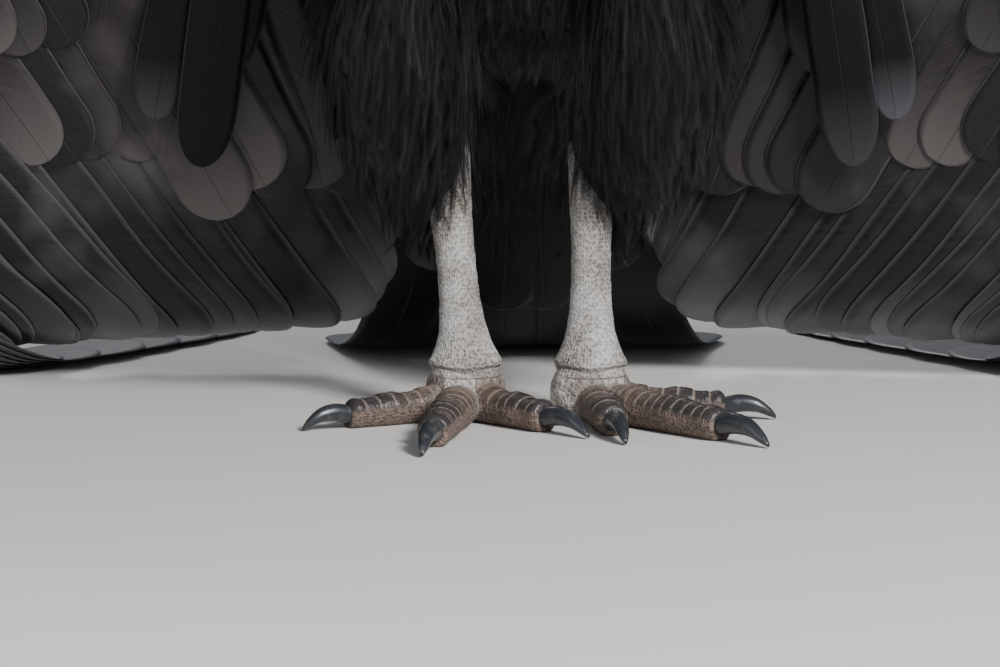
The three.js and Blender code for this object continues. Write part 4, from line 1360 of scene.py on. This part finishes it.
def leg_marks(points, start, headings, middle_x, middle_y):
    """How much each point is toe, plate, groove and dark horn, and its place round and along the limb."""
    toe, plate, groove, horny = np.zeros((4, len(points)))
    best = np.full(len(points), 1e9)
    above = points[:, 2] > crease_height
    off_x, off_y = points[:, 0] - middle_x, points[:, 1] - middle_y
    around = np.arctan2(off_x, -off_y) * around_shank
    lengthwise = points[:, 2] - np.where(above, 0, np.hypot(off_x, off_y) - 20)
    for (length, root, end, _, plates), degrees in zip(toe_shapes, headings):
        along = toe_heading(degrees)
        away = points - start
        t = np.clip(away @ along / length, 0, 1)
        centre = start + t[:, None] * along * length
        centre[:, 2] = lerp(root, end, t) * 0.88
        off = points - centre
        distance = np.linalg.norm(off, axis=1)
        mine = distance < best
        best = np.where(mine, distance, best)
        on_top = smooth(off[:, 2] / np.maximum(distance, 1e-6), 0.15, 0.55)
        _, part = plate_profile(t, plates)
        sideways = off @ np.array([along[1], -along[0], 0])
        on_toe = mine & (t > 0.12) & ~above
        turn = np.arctan2(sideways, off[:, 2])
        around = np.where(on_toe, turn * around_toe + toe_offset, around)
        lengthwise = np.where(on_toe, t * length, lengthwise)
        toe = np.where(mine, smooth(t, 0.1, 0.42), toe)
        horny = np.where(mine, smooth(t, 0.3, 0.75), horny)
        plated = on_top * (t > first_plate)
        plate = np.where(mine, plated * smooth(t, 0.1, 0.45), plate)
        groove = np.where(mine, plated * (1 - smooth(part, 0.02, 0.2)), groove)
    low = 1 - smooth(points[:, 2], 22, 34)
    return {"toe": toe * low, "plate": plate * low, "groove": groove * low, "horny": horny * low,
            "around": around, "lengthwise": lengthwise}


toe_slopes = {name: [round(float(toe_heading(angle)[0]), 2) for angle in angles]
              for name, angles in toe_headings.items()}
print("how far each toe points to the bird's left:", toe_slopes)

# %% [markdown]
# Where the shank meets the foot, the skin folds into a crease with a soft bulge above it. The
# rest of the shank is never quite smooth. All this is pressed into the fused skin by moving its
# points along their normals.


# %% Press the crease into a leg's skin
def leg_skin(name, side):
    foot, hock = leg_places[name]
    start = np.array([side * foot, pad_back, 0.0])
    pad_sections = [(z, foot, pad_back, half, deep) for z, half, deep in finer(pad, 4)]
    rings = [shank_rings(side, foot, hock), level_rings(side, pad_sections, 40)]
    for (length, root, end, _, plates), degrees in zip(toe_shapes, toe_headings[name]):
        rings.append(toe_rings(start.copy(), toe_heading(degrees), length, root, end, plates))
    made = one_skin(f"leg_skin_{name}", [in_place_loft(ring) for ring in rings], 0.9 * mm, 1)
    points, normals = (points_of(made) - shift) / mm, normals_of(made)
    front = smooth(-normals[:, 1], -0.2, 0.4)
    sag = points[:, 2] - 30.5 + 0.9 * np.cos((points[:, 0] - side * foot) / 5)
    crease = np.exp(-(sag / 0.9) ** 2) * front
    bulge = np.exp(-((sag - 4) / 2.6) ** 2) * front
    upright = 1 - np.abs(normals[:, 2])
    wander = (np.sin(points[:, 2] * 0.55 + points[:, 0] * 0.2)
              * np.sin(points[:, 0] * 0.5 + points[:, 1] * 0.4))
    off = -1.7 * crease + 0.9 * bulge + 0.22 * wander * upright
    moved = points + normals * off[:, None]
    moved[:, 2] = np.maximum(moved[:, 2], floor_gap)
    move_points(made, in_place(moved))
    heights, shares, backs = np.array(shank).T[:3]
    middle_x = side * lerp(foot, hock, np.interp(points[:, 2], heights, shares))
    middle_y = np.interp(points[:, 2], heights, backs)
    marks = leg_marks(points, start, toe_headings[name], middle_x, middle_y)
    marks["groove"] = np.maximum(marks["groove"], crease)
    mark_points(made.data, marks)
    return made


leg_skins = {name: leg_skin(name, side) for name, side in sides.items()}
print("leg skins:", [len(skin.data.polygons) for skin in leg_skins.values()])

# %% [markdown]
# The scales are cells of a pattern wrapped round the limb: dark cores in a net of chalk, which
# is thick in some places and thin in others. On the toes the net turns brown. The plates are
# brown near the foot and blackish near the claw, and smoother than the skin.

# %% Scaly skin
leg_finish, tree, shader = finish("scaly skin of the legs", 0.62, Specular_IOR_Level=0.35)
own_place = own_place_of(tree)
toe_share, plate_share, groove_share = (attribute(tree, title) for title in ("toe", "plate", "groove"))
horny_share, around, lengthwise = (attribute(tree, title) for title in ("horny", "around", "lengthwise"))
wrapped = node(tree, "ShaderNodeCombineXYZ", {0: around, 1: product(tree, lengthwise, 0.9)}).outputs[0]
scale_settings = {"Vector": wrapped, "Scale": 0.46, "Randomness": 0.68}
scales = node(tree, "ShaderNodeTexVoronoi", scale_settings, voronoi_dimensions="2D")
scales_edge = node(tree, "ShaderNodeTexVoronoi", scale_settings, voronoi_dimensions="2D",
                   feature="DISTANCE_TO_EDGE")
not_toe = maths(tree, "SUBTRACT", 1.0, toe_share)
chalk = product(tree, ramp(tree, noise(tree, 38.0, 4.0, own_place), 0.34, 0.62), not_toe)
grime = ramp(tree, noise(tree, 210.0, 3.0, own_place), 0.35, 0.7)
net_colour = blend(tree, chalk, (0.36, 0.325, 0.295), (0.66, 0.645, 0.62))
net_colour = blend(tree, toe_share, net_colour, (0.22, 0.165, 0.135))
core_colour = blend(tree, grime, (0.060, 0.052, 0.047), (0.175, 0.148, 0.128))
toe_core = blend(tree, grime, (0.045, 0.033, 0.028), (0.115, 0.078, 0.06))
core_colour = blend(tree, toe_share, core_colour, toe_core)
core = ramp(tree, scales.outputs["Distance"], 0.18, 0.50, 1, 0)
core_share = product(tree, core, ramp(tree, chalk, 0, 1, 0.95, 0.6))
skin_colour = blend(tree, core_share, net_colour, core_colour)
blush = product(tree, ramp(tree, noise(tree, 55.0, 2.0, own_place), 0.55, 0.75), 0.3)
skin_colour = blend(tree, blush, skin_colour, (0.30, 0.19, 0.15))
streaky = noise(tree, 260.0, 3.0, own_place)
dark_plate = blend(tree, streaky, (0.012, 0.013, 0.016), (0.050, 0.043, 0.040))
brown_plate = blend(tree, grime, (0.060, 0.044, 0.036), (0.15, 0.11, 0.085))
plate_colour = blend(tree, horny_share, brown_plate, dark_plate)
skin_colour = blend(tree, product(tree, plate_share, 0.95), skin_colour, plate_colour)
groove_colour = blend(tree, toe_share, (0.20, 0.17, 0.15), (0.27, 0.21, 0.175))
skin_colour = blend(tree, product(tree, groove_share, 0.9), skin_colour, groove_colour)
tree.links.new(skin_colour, shader.inputs["Base Color"])
tree.links.new(ramp(tree, plate_share, 0, 1, 0.7, 0.30), shader.inputs["Roughness"])
bare = maths(tree, "SUBTRACT", 1.0, product(tree, plate_share, 0.85))
scale_height = product(tree, ramp(tree, scales_edge.outputs["Distance"], 0.0, 0.22), bare)
pores = product(tree, noise(tree, 900.0, 2.0, own_place), 0.3)
raised(tree, shader, maths(tree, "ADD", scale_height, pores), 0.6 * mm)
print("nodes in the finish of the legs:", len(tree.nodes))

# %% Dress the legs
for name, skin in leg_skins.items():
    skin.data.materials.append(leg_finish)
    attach(skin, "root")
    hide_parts(f"tarsus_{name}", f"foot_{name}")

# %% [markdown]
# The claws are horn over bone: thick, blunt and curved, slate-coloured and glossy, with fine
# streaks along them where the horn has grown and worn.

# %% Horn of the claws
horn_finish, tree, shader = finish("slate horn of the claws", 0.24, Coat_Weight=0.25, Coat_Roughness=0.15)
flat, split = flat_map_of(tree)
streak_map = node(tree, "ShaderNodeMapping", {"Vector": flat, "Scale": (34, 3, 1)}).outputs[0]
streaks = noise(tree, 1.0, 4.0, streak_map)
horn_colour = blend(tree, streaks, (0.010, 0.012, 0.015), (0.040, 0.044, 0.050))
root_share = ramp(tree, split.outputs[1], 0.22, 0.0, 0, 0.55)
horn_colour = blend(tree, root_share, horn_colour, (0.16, 0.12, 0.09))
worn = product(tree, ramp(tree, noise(tree, 160.0, 5.0, own_place_of(tree)), 0.56, 0.7), 0.5)
tree.links.new(blend(tree, worn, horn_colour, (0.11, 0.11, 0.112)), shader.inputs["Base Color"])
tree.links.new(ramp(tree, streaks, 0.2, 0.8, 0.2, 0.42), shader.inputs["Roughness"])
raised(tree, shader, streaks, 0.12 * mm)
print("nodes in the finish of the claws:", len(tree.nodes))


# %% Shape the claws
claw_sections = [
    # share of the claw's length, height of the middle, radius, for a toe of the usual thickness
    (-0.06, 8.2, 5.6), (0, 8.6, 6.4), (0.3, 10.6, 6), (0.62, 9.4, 4.9), (0.87, 5.2, 3.2), (1, 2, 1.3),
]
usual_toe_end = 9.5


def tube(name, rings):
    """A closed loft with a flat map: round it and along it."""
    points, quads, tris = loft_arrays(rings)
    rows, count = len(rings), len(rings[0])
    around = np.abs(2 * (np.arange(count) / count) - 1)
    along = np.linspace(0, 1, rows)
    flat_map = np.stack(np.broadcast_arrays(around[None, :], along[:, None]), -1).reshape(-1, 2)
    flat_map = np.concatenate([flat_map, [[0.5, 0], [0.5, 1]]])
    return make_mesh(name, in_place(points), [quads, tris], {"FeatherUV": flat_map})


def claw_rings(start, along, length, end, claw):
    scale = end / usual_toe_end
    rings = []
    for t, z, radius in finer(claw_sections, 6):
        centre = start + along * (length + claw * t)
        centre[2] = z * scale
        r = radius * scale
        rings.append(toe_ring(centre, along, r * 0.92, r * 1.05, 0, 28))
    return rings


for name, side in sides.items():
    start = np.array([side * leg_places[name][0], pad_back, 0.0])
    for digit, (shape, degrees) in enumerate(zip(toe_shapes, toe_headings[name]), 1):
        length, _, end, claw, _ = shape
        piece = tube(f"horn_{name}_{digit}", claw_rings(start, toe_heading(degrees), length, end, claw))
        piece.data.materials.append(horn_finish)
        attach(piece, "root")
        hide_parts(f"claw_{name}_{digit}")
print("claws:", len(sides) * len(toe_shapes))

# %% [markdown]
# ## Head and neck
# A condor's head and neck are bare. The skin is thick and wrinkled, dusky with flesh-red where it
# is thin, and an old male carries a comb of folded flesh from crown to face, with a wattle under
# the chin. Neck, skull, comb, folds and wattle are lofts fused to one fine skin. The ear, the
# nostrils and the mouth are then pressed into it, and wrinkles are raised round the neck.

# %% Shapes of the head and neck
neck_curve = Curve([(0, -172, 562), (0, -204, 596), (0, -240, 650),
                    (0, -250, 706), (0, -248, 754), (0, -262, 790)])
ruff_share = 0.15
head_centre = np.array([0, -280.0, 802])
head_pitch = math.radians(10)
head_along = np.array([0, -math.cos(head_pitch), -math.sin(head_pitch)])
head_up = np.array([0, -math.sin(head_pitch), math.cos(head_pitch)])
eye_forward, eye_rise, eye_out, eye_radius = 14, 5, 21, 9.5


def head_at(x, forward, up):
    """A place in the head's own directions: to the bird's left, towards the bill, and up."""
    return head_centre + np.array([x, 0, 0]) + head_along * forward + head_up * up


def head_rings(sections, count, steps=5):
    """Ovals square to the head: forward, rise of the middle, half width, height above and below."""
    return [oval(head_at(0, forward, up), side_way, head_up, half, high, low, count)
            for forward, up, half, high, low in finer(sections, steps)]


skull = [(-56, -2, 8, 8, 8), (-50, 0, 19, 17, 18), (-36, 1, 28, 26, 30), (-16, 2, 33, 31, 37),
         (2, 2, 33, 30, 35), (18, 0, 29, 26, 29), (32, -3, 22, 21, 22), (46, -5, 18, 18, 18),
         (58, -6, 16.5, 17, 16)]
comb = [(-24, 22, 2.5, 8, 8), (-12, 25, 6, 20, 8), (0, 25, 7, 21, 8), (12, 23, 8, 28, 8),
        (24, 19, 8, 31, 8), (36, 13, 7.5, 37, 8), (48, 10, 7.5, 38, 8), (60, 8.5, 6, 33, 8),
        (66, 9.5, 2.5, 20, 8)]
wattle = [
    # drop below the chin, half length, half width
    (0, 13, 9), (14, 12, 8), (28, 9, 6.5), (38, 6, 4.5), (44, 2.5, 2),
]
print("sections of skull and comb:", len(skull), len(comb))

# %% [markdown]
# Most of what makes the head look alive are its folds: along the cheeks, down the nape and on the
# comb, and the thick rim of the eyelids. Each fold is a soft tube through a few places, thin at
# its ends, and the lids are a ring. They melt into the rest when the skin is fused.


# %% Rings of the neck, folds and lids
def neck_rings():
    rings = []
    for t in np.linspace(ruff_share - 0.04, 0.99, 90):
        radius = lerp(48, 34, float(smooth(t, 0.15, 0.6)))
        radius = lerp(radius, 22, float(smooth(t, 0.88, 1.0)))
        y = unit(np.cross(side_way, neck_curve.heading(t)))
        rings.append(oval(neck_curve.at(t), side_way, y, radius, radius, radius * 1.05, 48))
    return rings


def fold(points, radius, count=12, steps=10):
    """A soft fold of flesh: a tube through a few points, thin at both ends."""
    curve = Curve(points)
    rings = []
    for t in np.linspace(0, 1, steps):
        heading = curve.heading(t)
        x = unit(np.cross(heading, [0, 0, 1.0]))
        r = radius * (0.25 + 0.75 * math.sin(math.pi * t) ** 0.6)
        rings.append(oval(curve.at(t), x, np.cross(x, heading), r, r, r, count))
    return rings


def eye_directions(side):
    """Where an eye looks, and two directions square to that."""
    look = unit(np.array([side, -0.28, 0.05]))
    a = unit(np.cross(look, [0, 0, 1.0]))
    return look, a, np.cross(a, look)


lid_radius, lid_thickness = 8.8, 2.5


def lid_ring(side, count=30, steps=10):
    """The rim of the eyelids: a soft ring, a little lower than it is long."""
    centre = head_at(side * (eye_out + 6.6), eye_forward + 0.5, eye_rise)
    out, a, b = eye_directions(side)
    around = 2 * np.pi * np.arange(count) / count
    radial = np.cos(around)[:, None] * a + 0.86 * np.sin(around)[:, None] * b
    turn = 2 * np.pi * np.arange(steps) / steps
    points = (centre + radial[:, None] * (lid_radius + lid_thickness * np.cos(turn))[None, :, None]
              + out * (lid_thickness * np.sin(turn))[None, :, None])
    i, j = np.meshgrid(np.arange(count), np.arange(steps), indexing="ij")
    after_i, after_j = (i + 1) % count, (j + 1) % steps
    a, b, c, d = i * steps + j, i * steps + after_j, after_i * steps + after_j, after_i * steps + j
    quads = np.stack([a, b, c, d], -1).reshape(-1, 4)
    return in_place(points.reshape(-1, 3)), quads, np.zeros((0, 3), int)


print("rings of the neck:", len(neck_rings()))

# %% Fuse the head's skin
cheek_folds = [
    # place forwards, height, reach to the side, thickness
    (-14, 15, 31, 3.4), (-16, -20, 29, 4.4), (-12, -29, 23, 4.4),
]
comb_folds = [(16, 3.4), (27, 3.2), (37, 2.8)]
wattle_rings = [oval(head_at(0, 30 - drop * 0.2, -19 - drop), side_way, head_along, half, long, long, 20)
                for drop, long, half in finer(wattle, 5)]
head_lofts = [neck_rings(), head_rings(skull, 48), head_rings(comb, 24), wattle_rings]
for side in (1, -1):
    for forward, up, reach, thick in cheek_folds:
        head_lofts.append(fold([head_at(side * (reach - 6), forward + 26, up * 0.8),
                                head_at(side * reach * 0.96, forward + 6, up),
                                head_at(side * reach * 0.82, forward - 12, up * 1.1 - 3),
                                head_at(side * reach * 0.5, forward - 22, up * 1.1 - 8)], thick))
    for rise, thick in comb_folds:
        head_lofts.append(fold([head_at(side * 5.5, 4, rise + 3), head_at(side * 7, 22, rise),
                                head_at(side * 6.2, 42, rise - 2),
                                head_at(side * 4.5, 57, rise - 3)], thick))
head_lofts = [in_place_loft(rings) for rings in head_lofts] + [lid_ring(1), lid_ring(-1)]
head = one_skin("head_skin", head_lofts, 1.25 * mm, 2)

# %% [markdown]
# The fused skin is too smooth. The neck's folds run round it, so they follow the distance along
# the neck. Comb and wattle get warty lumps from smooth fields of chance. The amounts for each
# feature are added up first, and the points are then moved once.


# %% Wrinkles of the neck, comb and wattle
def chance_field(points, scale, seed):
    """A smooth field of chance from a sum of waves."""
    made = np.zeros(len(points))
    waves = np.random.default_rng(seed)
    for _ in range(14):
        direction = unit(waves.normal(size=3)) * waves.uniform(0.6, 1.6) / scale
        made += np.sin(points @ direction * 2 * np.pi + waves.uniform(0, 6.3))
    return made / 5.0


points, normals = (points_of(head) - shift) / mm, normals_of(head)
local = points - head_centre
across, ahead, rise = local[:, 0], local @ head_along, local @ head_up
samples = neck_curve.at(np.linspace(0, 1, 200))
nearest = np.argmin(((points[:, None] - samples[None]) ** 2).sum(2), axis=1)
on_neck = smooth(-ahead - 0.6 * rise, 34, 60) * smooth(-rise, -30, 25)
along_neck = nearest / (len(samples) - 1) * neck_curve.length
wavy = along_neck + 3.0 * chance_field(points, 45, 1)
folds = 1 - np.abs(np.sin(wavy * math.pi / 11))
off = on_neck * (1.6 * (folds**1.6 - 0.35) + 0.5 * chance_field(points, 9, 2))
off += (1 - on_neck) * 0.35 * chance_field(points, 6, 3) * (ahead < 54)
comb_share = smooth(rise, 22, 30) * (ahead > -26)
off += comb_share * 0.9 * chance_field(points, 10, 4)
wattle_share = (smooth(-rise, 24, 34) * (1 - smooth(-rise, 56, 68)) * smooth(ahead, 15, 19)
                * (1 - smooth(np.abs(across), 9, 14)))
off += wattle_share * 0.7 * chance_field(points, 8, 5)
print("deepest and highest wrinkle:", round(float(off.min()), 1), round(float(off.max()), 1), "mm")

# %% [markdown]
# The ear is a bare pit behind the eye, the nostril a slit near the bill, and the mouth a line
# that runs back to below the eye. Each is a distance in the head's own directions, turned into a
# depth. Marks at the same places let the finish paint shade into the pits, the slit and the line.

# %% Ear, nostrils, mouth and eyelids
ear = np.hypot((ahead + 22) / 5.5, (rise + 8) / 6.5)
off -= 5.0 * (1 - smooth(ear, 0.45, 1.0)) * (np.abs(across) > 18)
off += 1.2 * np.exp(-((ear - 1.25) / 0.25) ** 2) * (np.abs(across) > 18)
nostril = np.hypot((ahead - 47) / 5.5, (rise - 2) / 2.3)
off -= 4.0 * (1 - smooth(nostril, 0.5, 1.05))
mouth = np.exp(-((rise + 9.6 - 0.05 * (ahead - 40)) / 1.0) ** 2) * smooth(ahead, 12, 20)
off -= 1.8 * mouth
lips = np.exp(-((np.abs(rise + 9.6) - 3.0) / 1.6) ** 2) * smooth(ahead, 12, 24)
off += 0.5 * lips
eye_near = np.hypot(ahead - eye_forward - 0.5, (rise - eye_rise) / 0.9)
lid_crease = np.exp(-((eye_near - 13.5) / 1.0) ** 2) + 0.7 * np.exp(-((eye_near - 17) / 1.1) ** 2)
off -= 0.7 * lid_crease * (np.abs(across) > 12)
sunk = 9.0 * (1 - smooth(eye_near, 5.0, 7.4)) * (np.abs(across) > 14)
moved = points + normals * off[:, None]
moved[:, 0] -= np.sign(across) * sunk
move_points(head, in_place(moved))

# Painted shade: the ear pit, the nostril and the mouth line are marked so that the finish darkens them as
# shade in these hollows.
ear_pit = (1 - smooth(ear, 0.5, 1.0)) * (np.abs(across) > 18)
painted_pit_shade = mouth + (1 - smooth(nostril, 0.6, 1.1)) + ear_pit
mark_points(head.data, {
    "comb": np.maximum(comb_share, wattle_share),
    "pit_shade": np.clip(painted_pit_shade, 0, 1),
    # The fold mark follows the pressed relief, so the finish paints light on what stands out and shade in
    # the creases.
    "fold": np.clip(0.5 + off / 3, 0, 1),
    "face": smooth(ahead, 20, 56),
})
print("marks on the head:", [item.name for item in head.data.attributes if item.data_type == "FLOAT"])

# %% [markdown]
# The bare skin is dusky in patches and flesh-coloured between. Light and shade are painted on its
# relief: it is paler where the folds stand out, darker in the creases, and darkest in the pits. The
# comb and the face are nearly black. The skin lets a little red light through, which a small
# subsurface share gives.

# %% Bare skin, comb and wattle
bare_finish, tree, shader = finish("bare skin of head and neck", 0.55, Subsurface_Weight=0.08)
shader.inputs["Subsurface Radius"].default_value = (0.004, 0.0015, 0.001)
own_place = own_place_of(tree)
patches = noise(tree, 26.0, 4.0, own_place)
# Painted light and shade: skin that stands out by the fold mark turns paler flesh, and the creases stay
# dark.
relief_shading = product(tree, attribute(tree, "fold"), 0.55)
comb_tint = product(tree, attribute(tree, "comb"), 0.9)
face_tint = product(tree, attribute(tree, "face"), 0.6)
bare_colour = blend(tree, ramp(tree, patches, 0.35, 0.65), (0.055, 0.040, 0.040), (0.19, 0.085, 0.066))
bare_colour = blend(tree, relief_shading, bare_colour, (0.24, 0.13, 0.11))
comb_colour = blend(tree, patches, (0.045, 0.032, 0.036), (0.12, 0.06, 0.058))
bare_colour = blend(tree, comb_tint, bare_colour, comb_colour)
bare_colour = blend(tree, face_tint, bare_colour, (0.045, 0.036, 0.036))
# Painted shade in the ear pit, the nostril and the mouth line.
bare_colour = blend(tree, attribute(tree, "pit_shade"), bare_colour, (0.012, 0.008, 0.008))
tree.links.new(bare_colour, shader.inputs["Base Color"])
pebbles = node(tree, "ShaderNodeTexVoronoi", {"Vector": own_place, "Scale": 620.0, "Randomness": 0.8})
wrinkles = noise(tree, 240.0, 4.0, own_place)
skin_relief = maths(tree, "ADD", product(tree, pebbles.outputs["Distance"], 0.5), wrinkles)
raised(tree, shader, skin_relief, 0.5 * mm)
head.data.materials.append(bare_finish)
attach(head, "root")
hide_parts("neck", "head", "comb", "wattle")
print("nodes in the finish of the bare skin:", len(tree.nodes))

# %% [markdown]
# The bill is ivory horn with a dark base, hooked to tear. Its two halves are lofts along the head,
# whose first rings lie inside the face. Fine grain runs along them, as horn grows.

# %% Bill
upper_bill = [(57, 0, 15.6, 12, 7.6), (58.3, 0, 15.5, 12, 7.5), (70, 0, 14, 12, 8), (84, -1, 12, 11.5, 8),
              (95, -5, 9.5, 10, 8), (102, -12, 7, 8.5, 7.5), (105, -20, 4, 5, 7), (105.5, -27, 1.5, 1.5, 3)]
lower_bill = [(57, -14, 12.5, 4.8, 6.5), (58.3, -14, 12.5, 4.8, 6.5), (72, -14, 11, 4.8, 6.5),
              (83, -14.2, 8.5, 3.6, 5.5), (89, -14.8, 5, 2.4, 3.5), (92.5, -15.4, 2, 1.2, 1.5)]
bill_finish, tree, shader = finish("ivory horn of the bill", 0.32, Subsurface_Weight=0.05)
flat, split = flat_map_of(tree)
grain_map = node(tree, "ShaderNodeMapping", {"Vector": flat, "Scale": (14, 3, 1)}).outputs[0]
grain = noise(tree, 1.0, 4.0, grain_map)
ivory = blend(tree, grain, (0.60, 0.52, 0.36), (0.78, 0.72, 0.58))
uneven_along = maths(tree, "ADD", split.outputs[1], product(tree, grain, 0.2))
dark_base = ramp(tree, uneven_along, 0.36, 0.62, 1, 0)
tree.links.new(blend(tree, dark_base, ivory, (0.035, 0.030, 0.028)), shader.inputs["Base Color"])
raised(tree, shader, grain, 0.15 * mm)
for name, sections, solid in (("bill_top", upper_bill, "bill_upper"),
                              ("bill_bottom", lower_bill, "bill_lower")):
    piece = tube(name, head_rings(sections, 36, 6))
    piece.data.materials.append(bill_finish)
    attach(piece, "root")
    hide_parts(solid)
    print(name, len(piece.data.polygons), "faces")

# %% [markdown]
# A male's eye is brown. Each eye is a ball with a slight bulge in front, and it sits inside its
# lids. A number on its points tells how far each lies from the middle of the gaze, which gives
# the pupil, the iris and its dark rim. A clear coat makes it look wet.

# %% Eyes
pupil_edge, pupil_outside = 0.245, 0.275
iris_edge, iris_outside = 0.56, 0.64
eye_finish, tree, shader = finish("brown eye", 0.12, Coat_Weight=1.0, Coat_Roughness=0.02)
gaze = attribute(tree, "gaze")
flat, _ = flat_map_of(tree)
ray_map = node(tree, "ShaderNodeMapping", {"Vector": flat, "Scale": (6, 0.6, 1)}).outputs[0]
rays = noise(tree, 9.0, 3.0, ray_map)
iris = blend(tree, rays, (0.045, 0.018, 0.008), (0.20, 0.085, 0.035))
eye_colour = blend(tree, ramp(tree, gaze, pupil_edge, pupil_outside), (0.002, 0.002, 0.002), iris)
eye_colour = blend(tree, ramp(tree, gaze, iris_edge, iris_outside), eye_colour, (0.015, 0.010, 0.008))
tree.links.new(eye_colour, shader.inputs["Base Color"])


def eye_rings(side, count):
    """Rings of an eyeball from its front to its back, and each point's distance from the gaze."""
    look, a, b = eye_directions(side)
    middle = head_at(side * eye_out, eye_forward, eye_rise)
    rings, gazes = [], []
    for turn in np.linspace(0.02, math.pi - 0.02, 40):
        swell = 1 + 0.05 * math.exp(-(turn / 0.5) ** 2)
        centre = middle + look * eye_radius * swell * math.cos(turn)
        radius = eye_radius * math.sin(turn)
        rings.append(oval(centre, a, b, radius, radius, radius, count))
        gazes += [math.sin(turn) if turn < math.pi / 2 else 1.0] * count
    return rings, gazes + [0.0, 1.0]


for name, side in sides.items():
    rings, gazes = eye_rings(side, 48)
    eye = tube(f"eyeball_{name}", rings)
    mark_points(eye.data, {"gaze": gazes})
    eye.data.materials.append(eye_finish)
    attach(eye, "root")
    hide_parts(f"eye_{name}")
print("eyes:", len(sides))

# %% [markdown]
# ## The ruff
# A collar of white down closes round the foot of the neck. Its tufts are short and loose, spread
# outwards in all directions and curl over. They stand on a low collar of skin.

# %% Collar of skin
collar_sections = [
    # along the neck, half width, upper, lower
    (0.012, 66, 58, 60), (0.06, 68, 60, 62), (0.1, 62, 56, 58), (0.165, 46, 46, 48),
]
collar_loft = in_place_loft(body_rings(neck_curve, finer(collar_sections, 3), 36, 0))
collar = one_skin("ruff_skin", [collar_loft], 4 * mm, 2)
collar.data.materials.append(white_down)
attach(collar, "root")
unwrap(collar)
collar_share = 0.07
collar_middle = in_place(neck_curve.at(collar_share))
collar_way = neck_curve.heading(collar_share)


# %% Down of the ruff
def ruff_lie(places, normals):
    outward = places - collar_middle
    outward = unit(outward - np.outer(outward @ collar_way, collar_way))
    return unit(outward * 0.8 - collar_way * 0.55)


def upper_collar(places, normals):
    """The collar without its lowest rim, which lies inside the coat."""
    return ((places - collar_middle) @ collar_way > -0.03).astype(float)


down_fans = [fan(18, 0.5, 50, thin=0.013, ragged=0.2) for _ in range(5)]
collar_roots = Field(collar).sow(upper_collar, even(4.6 * mm))
ruff = coat_piece("ruff_down", down_fans, collar_roots, ruff_lie, even(38 * mm), even(24 * mm), even(36),
                  white_down, sag=0.12)
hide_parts("ruff")
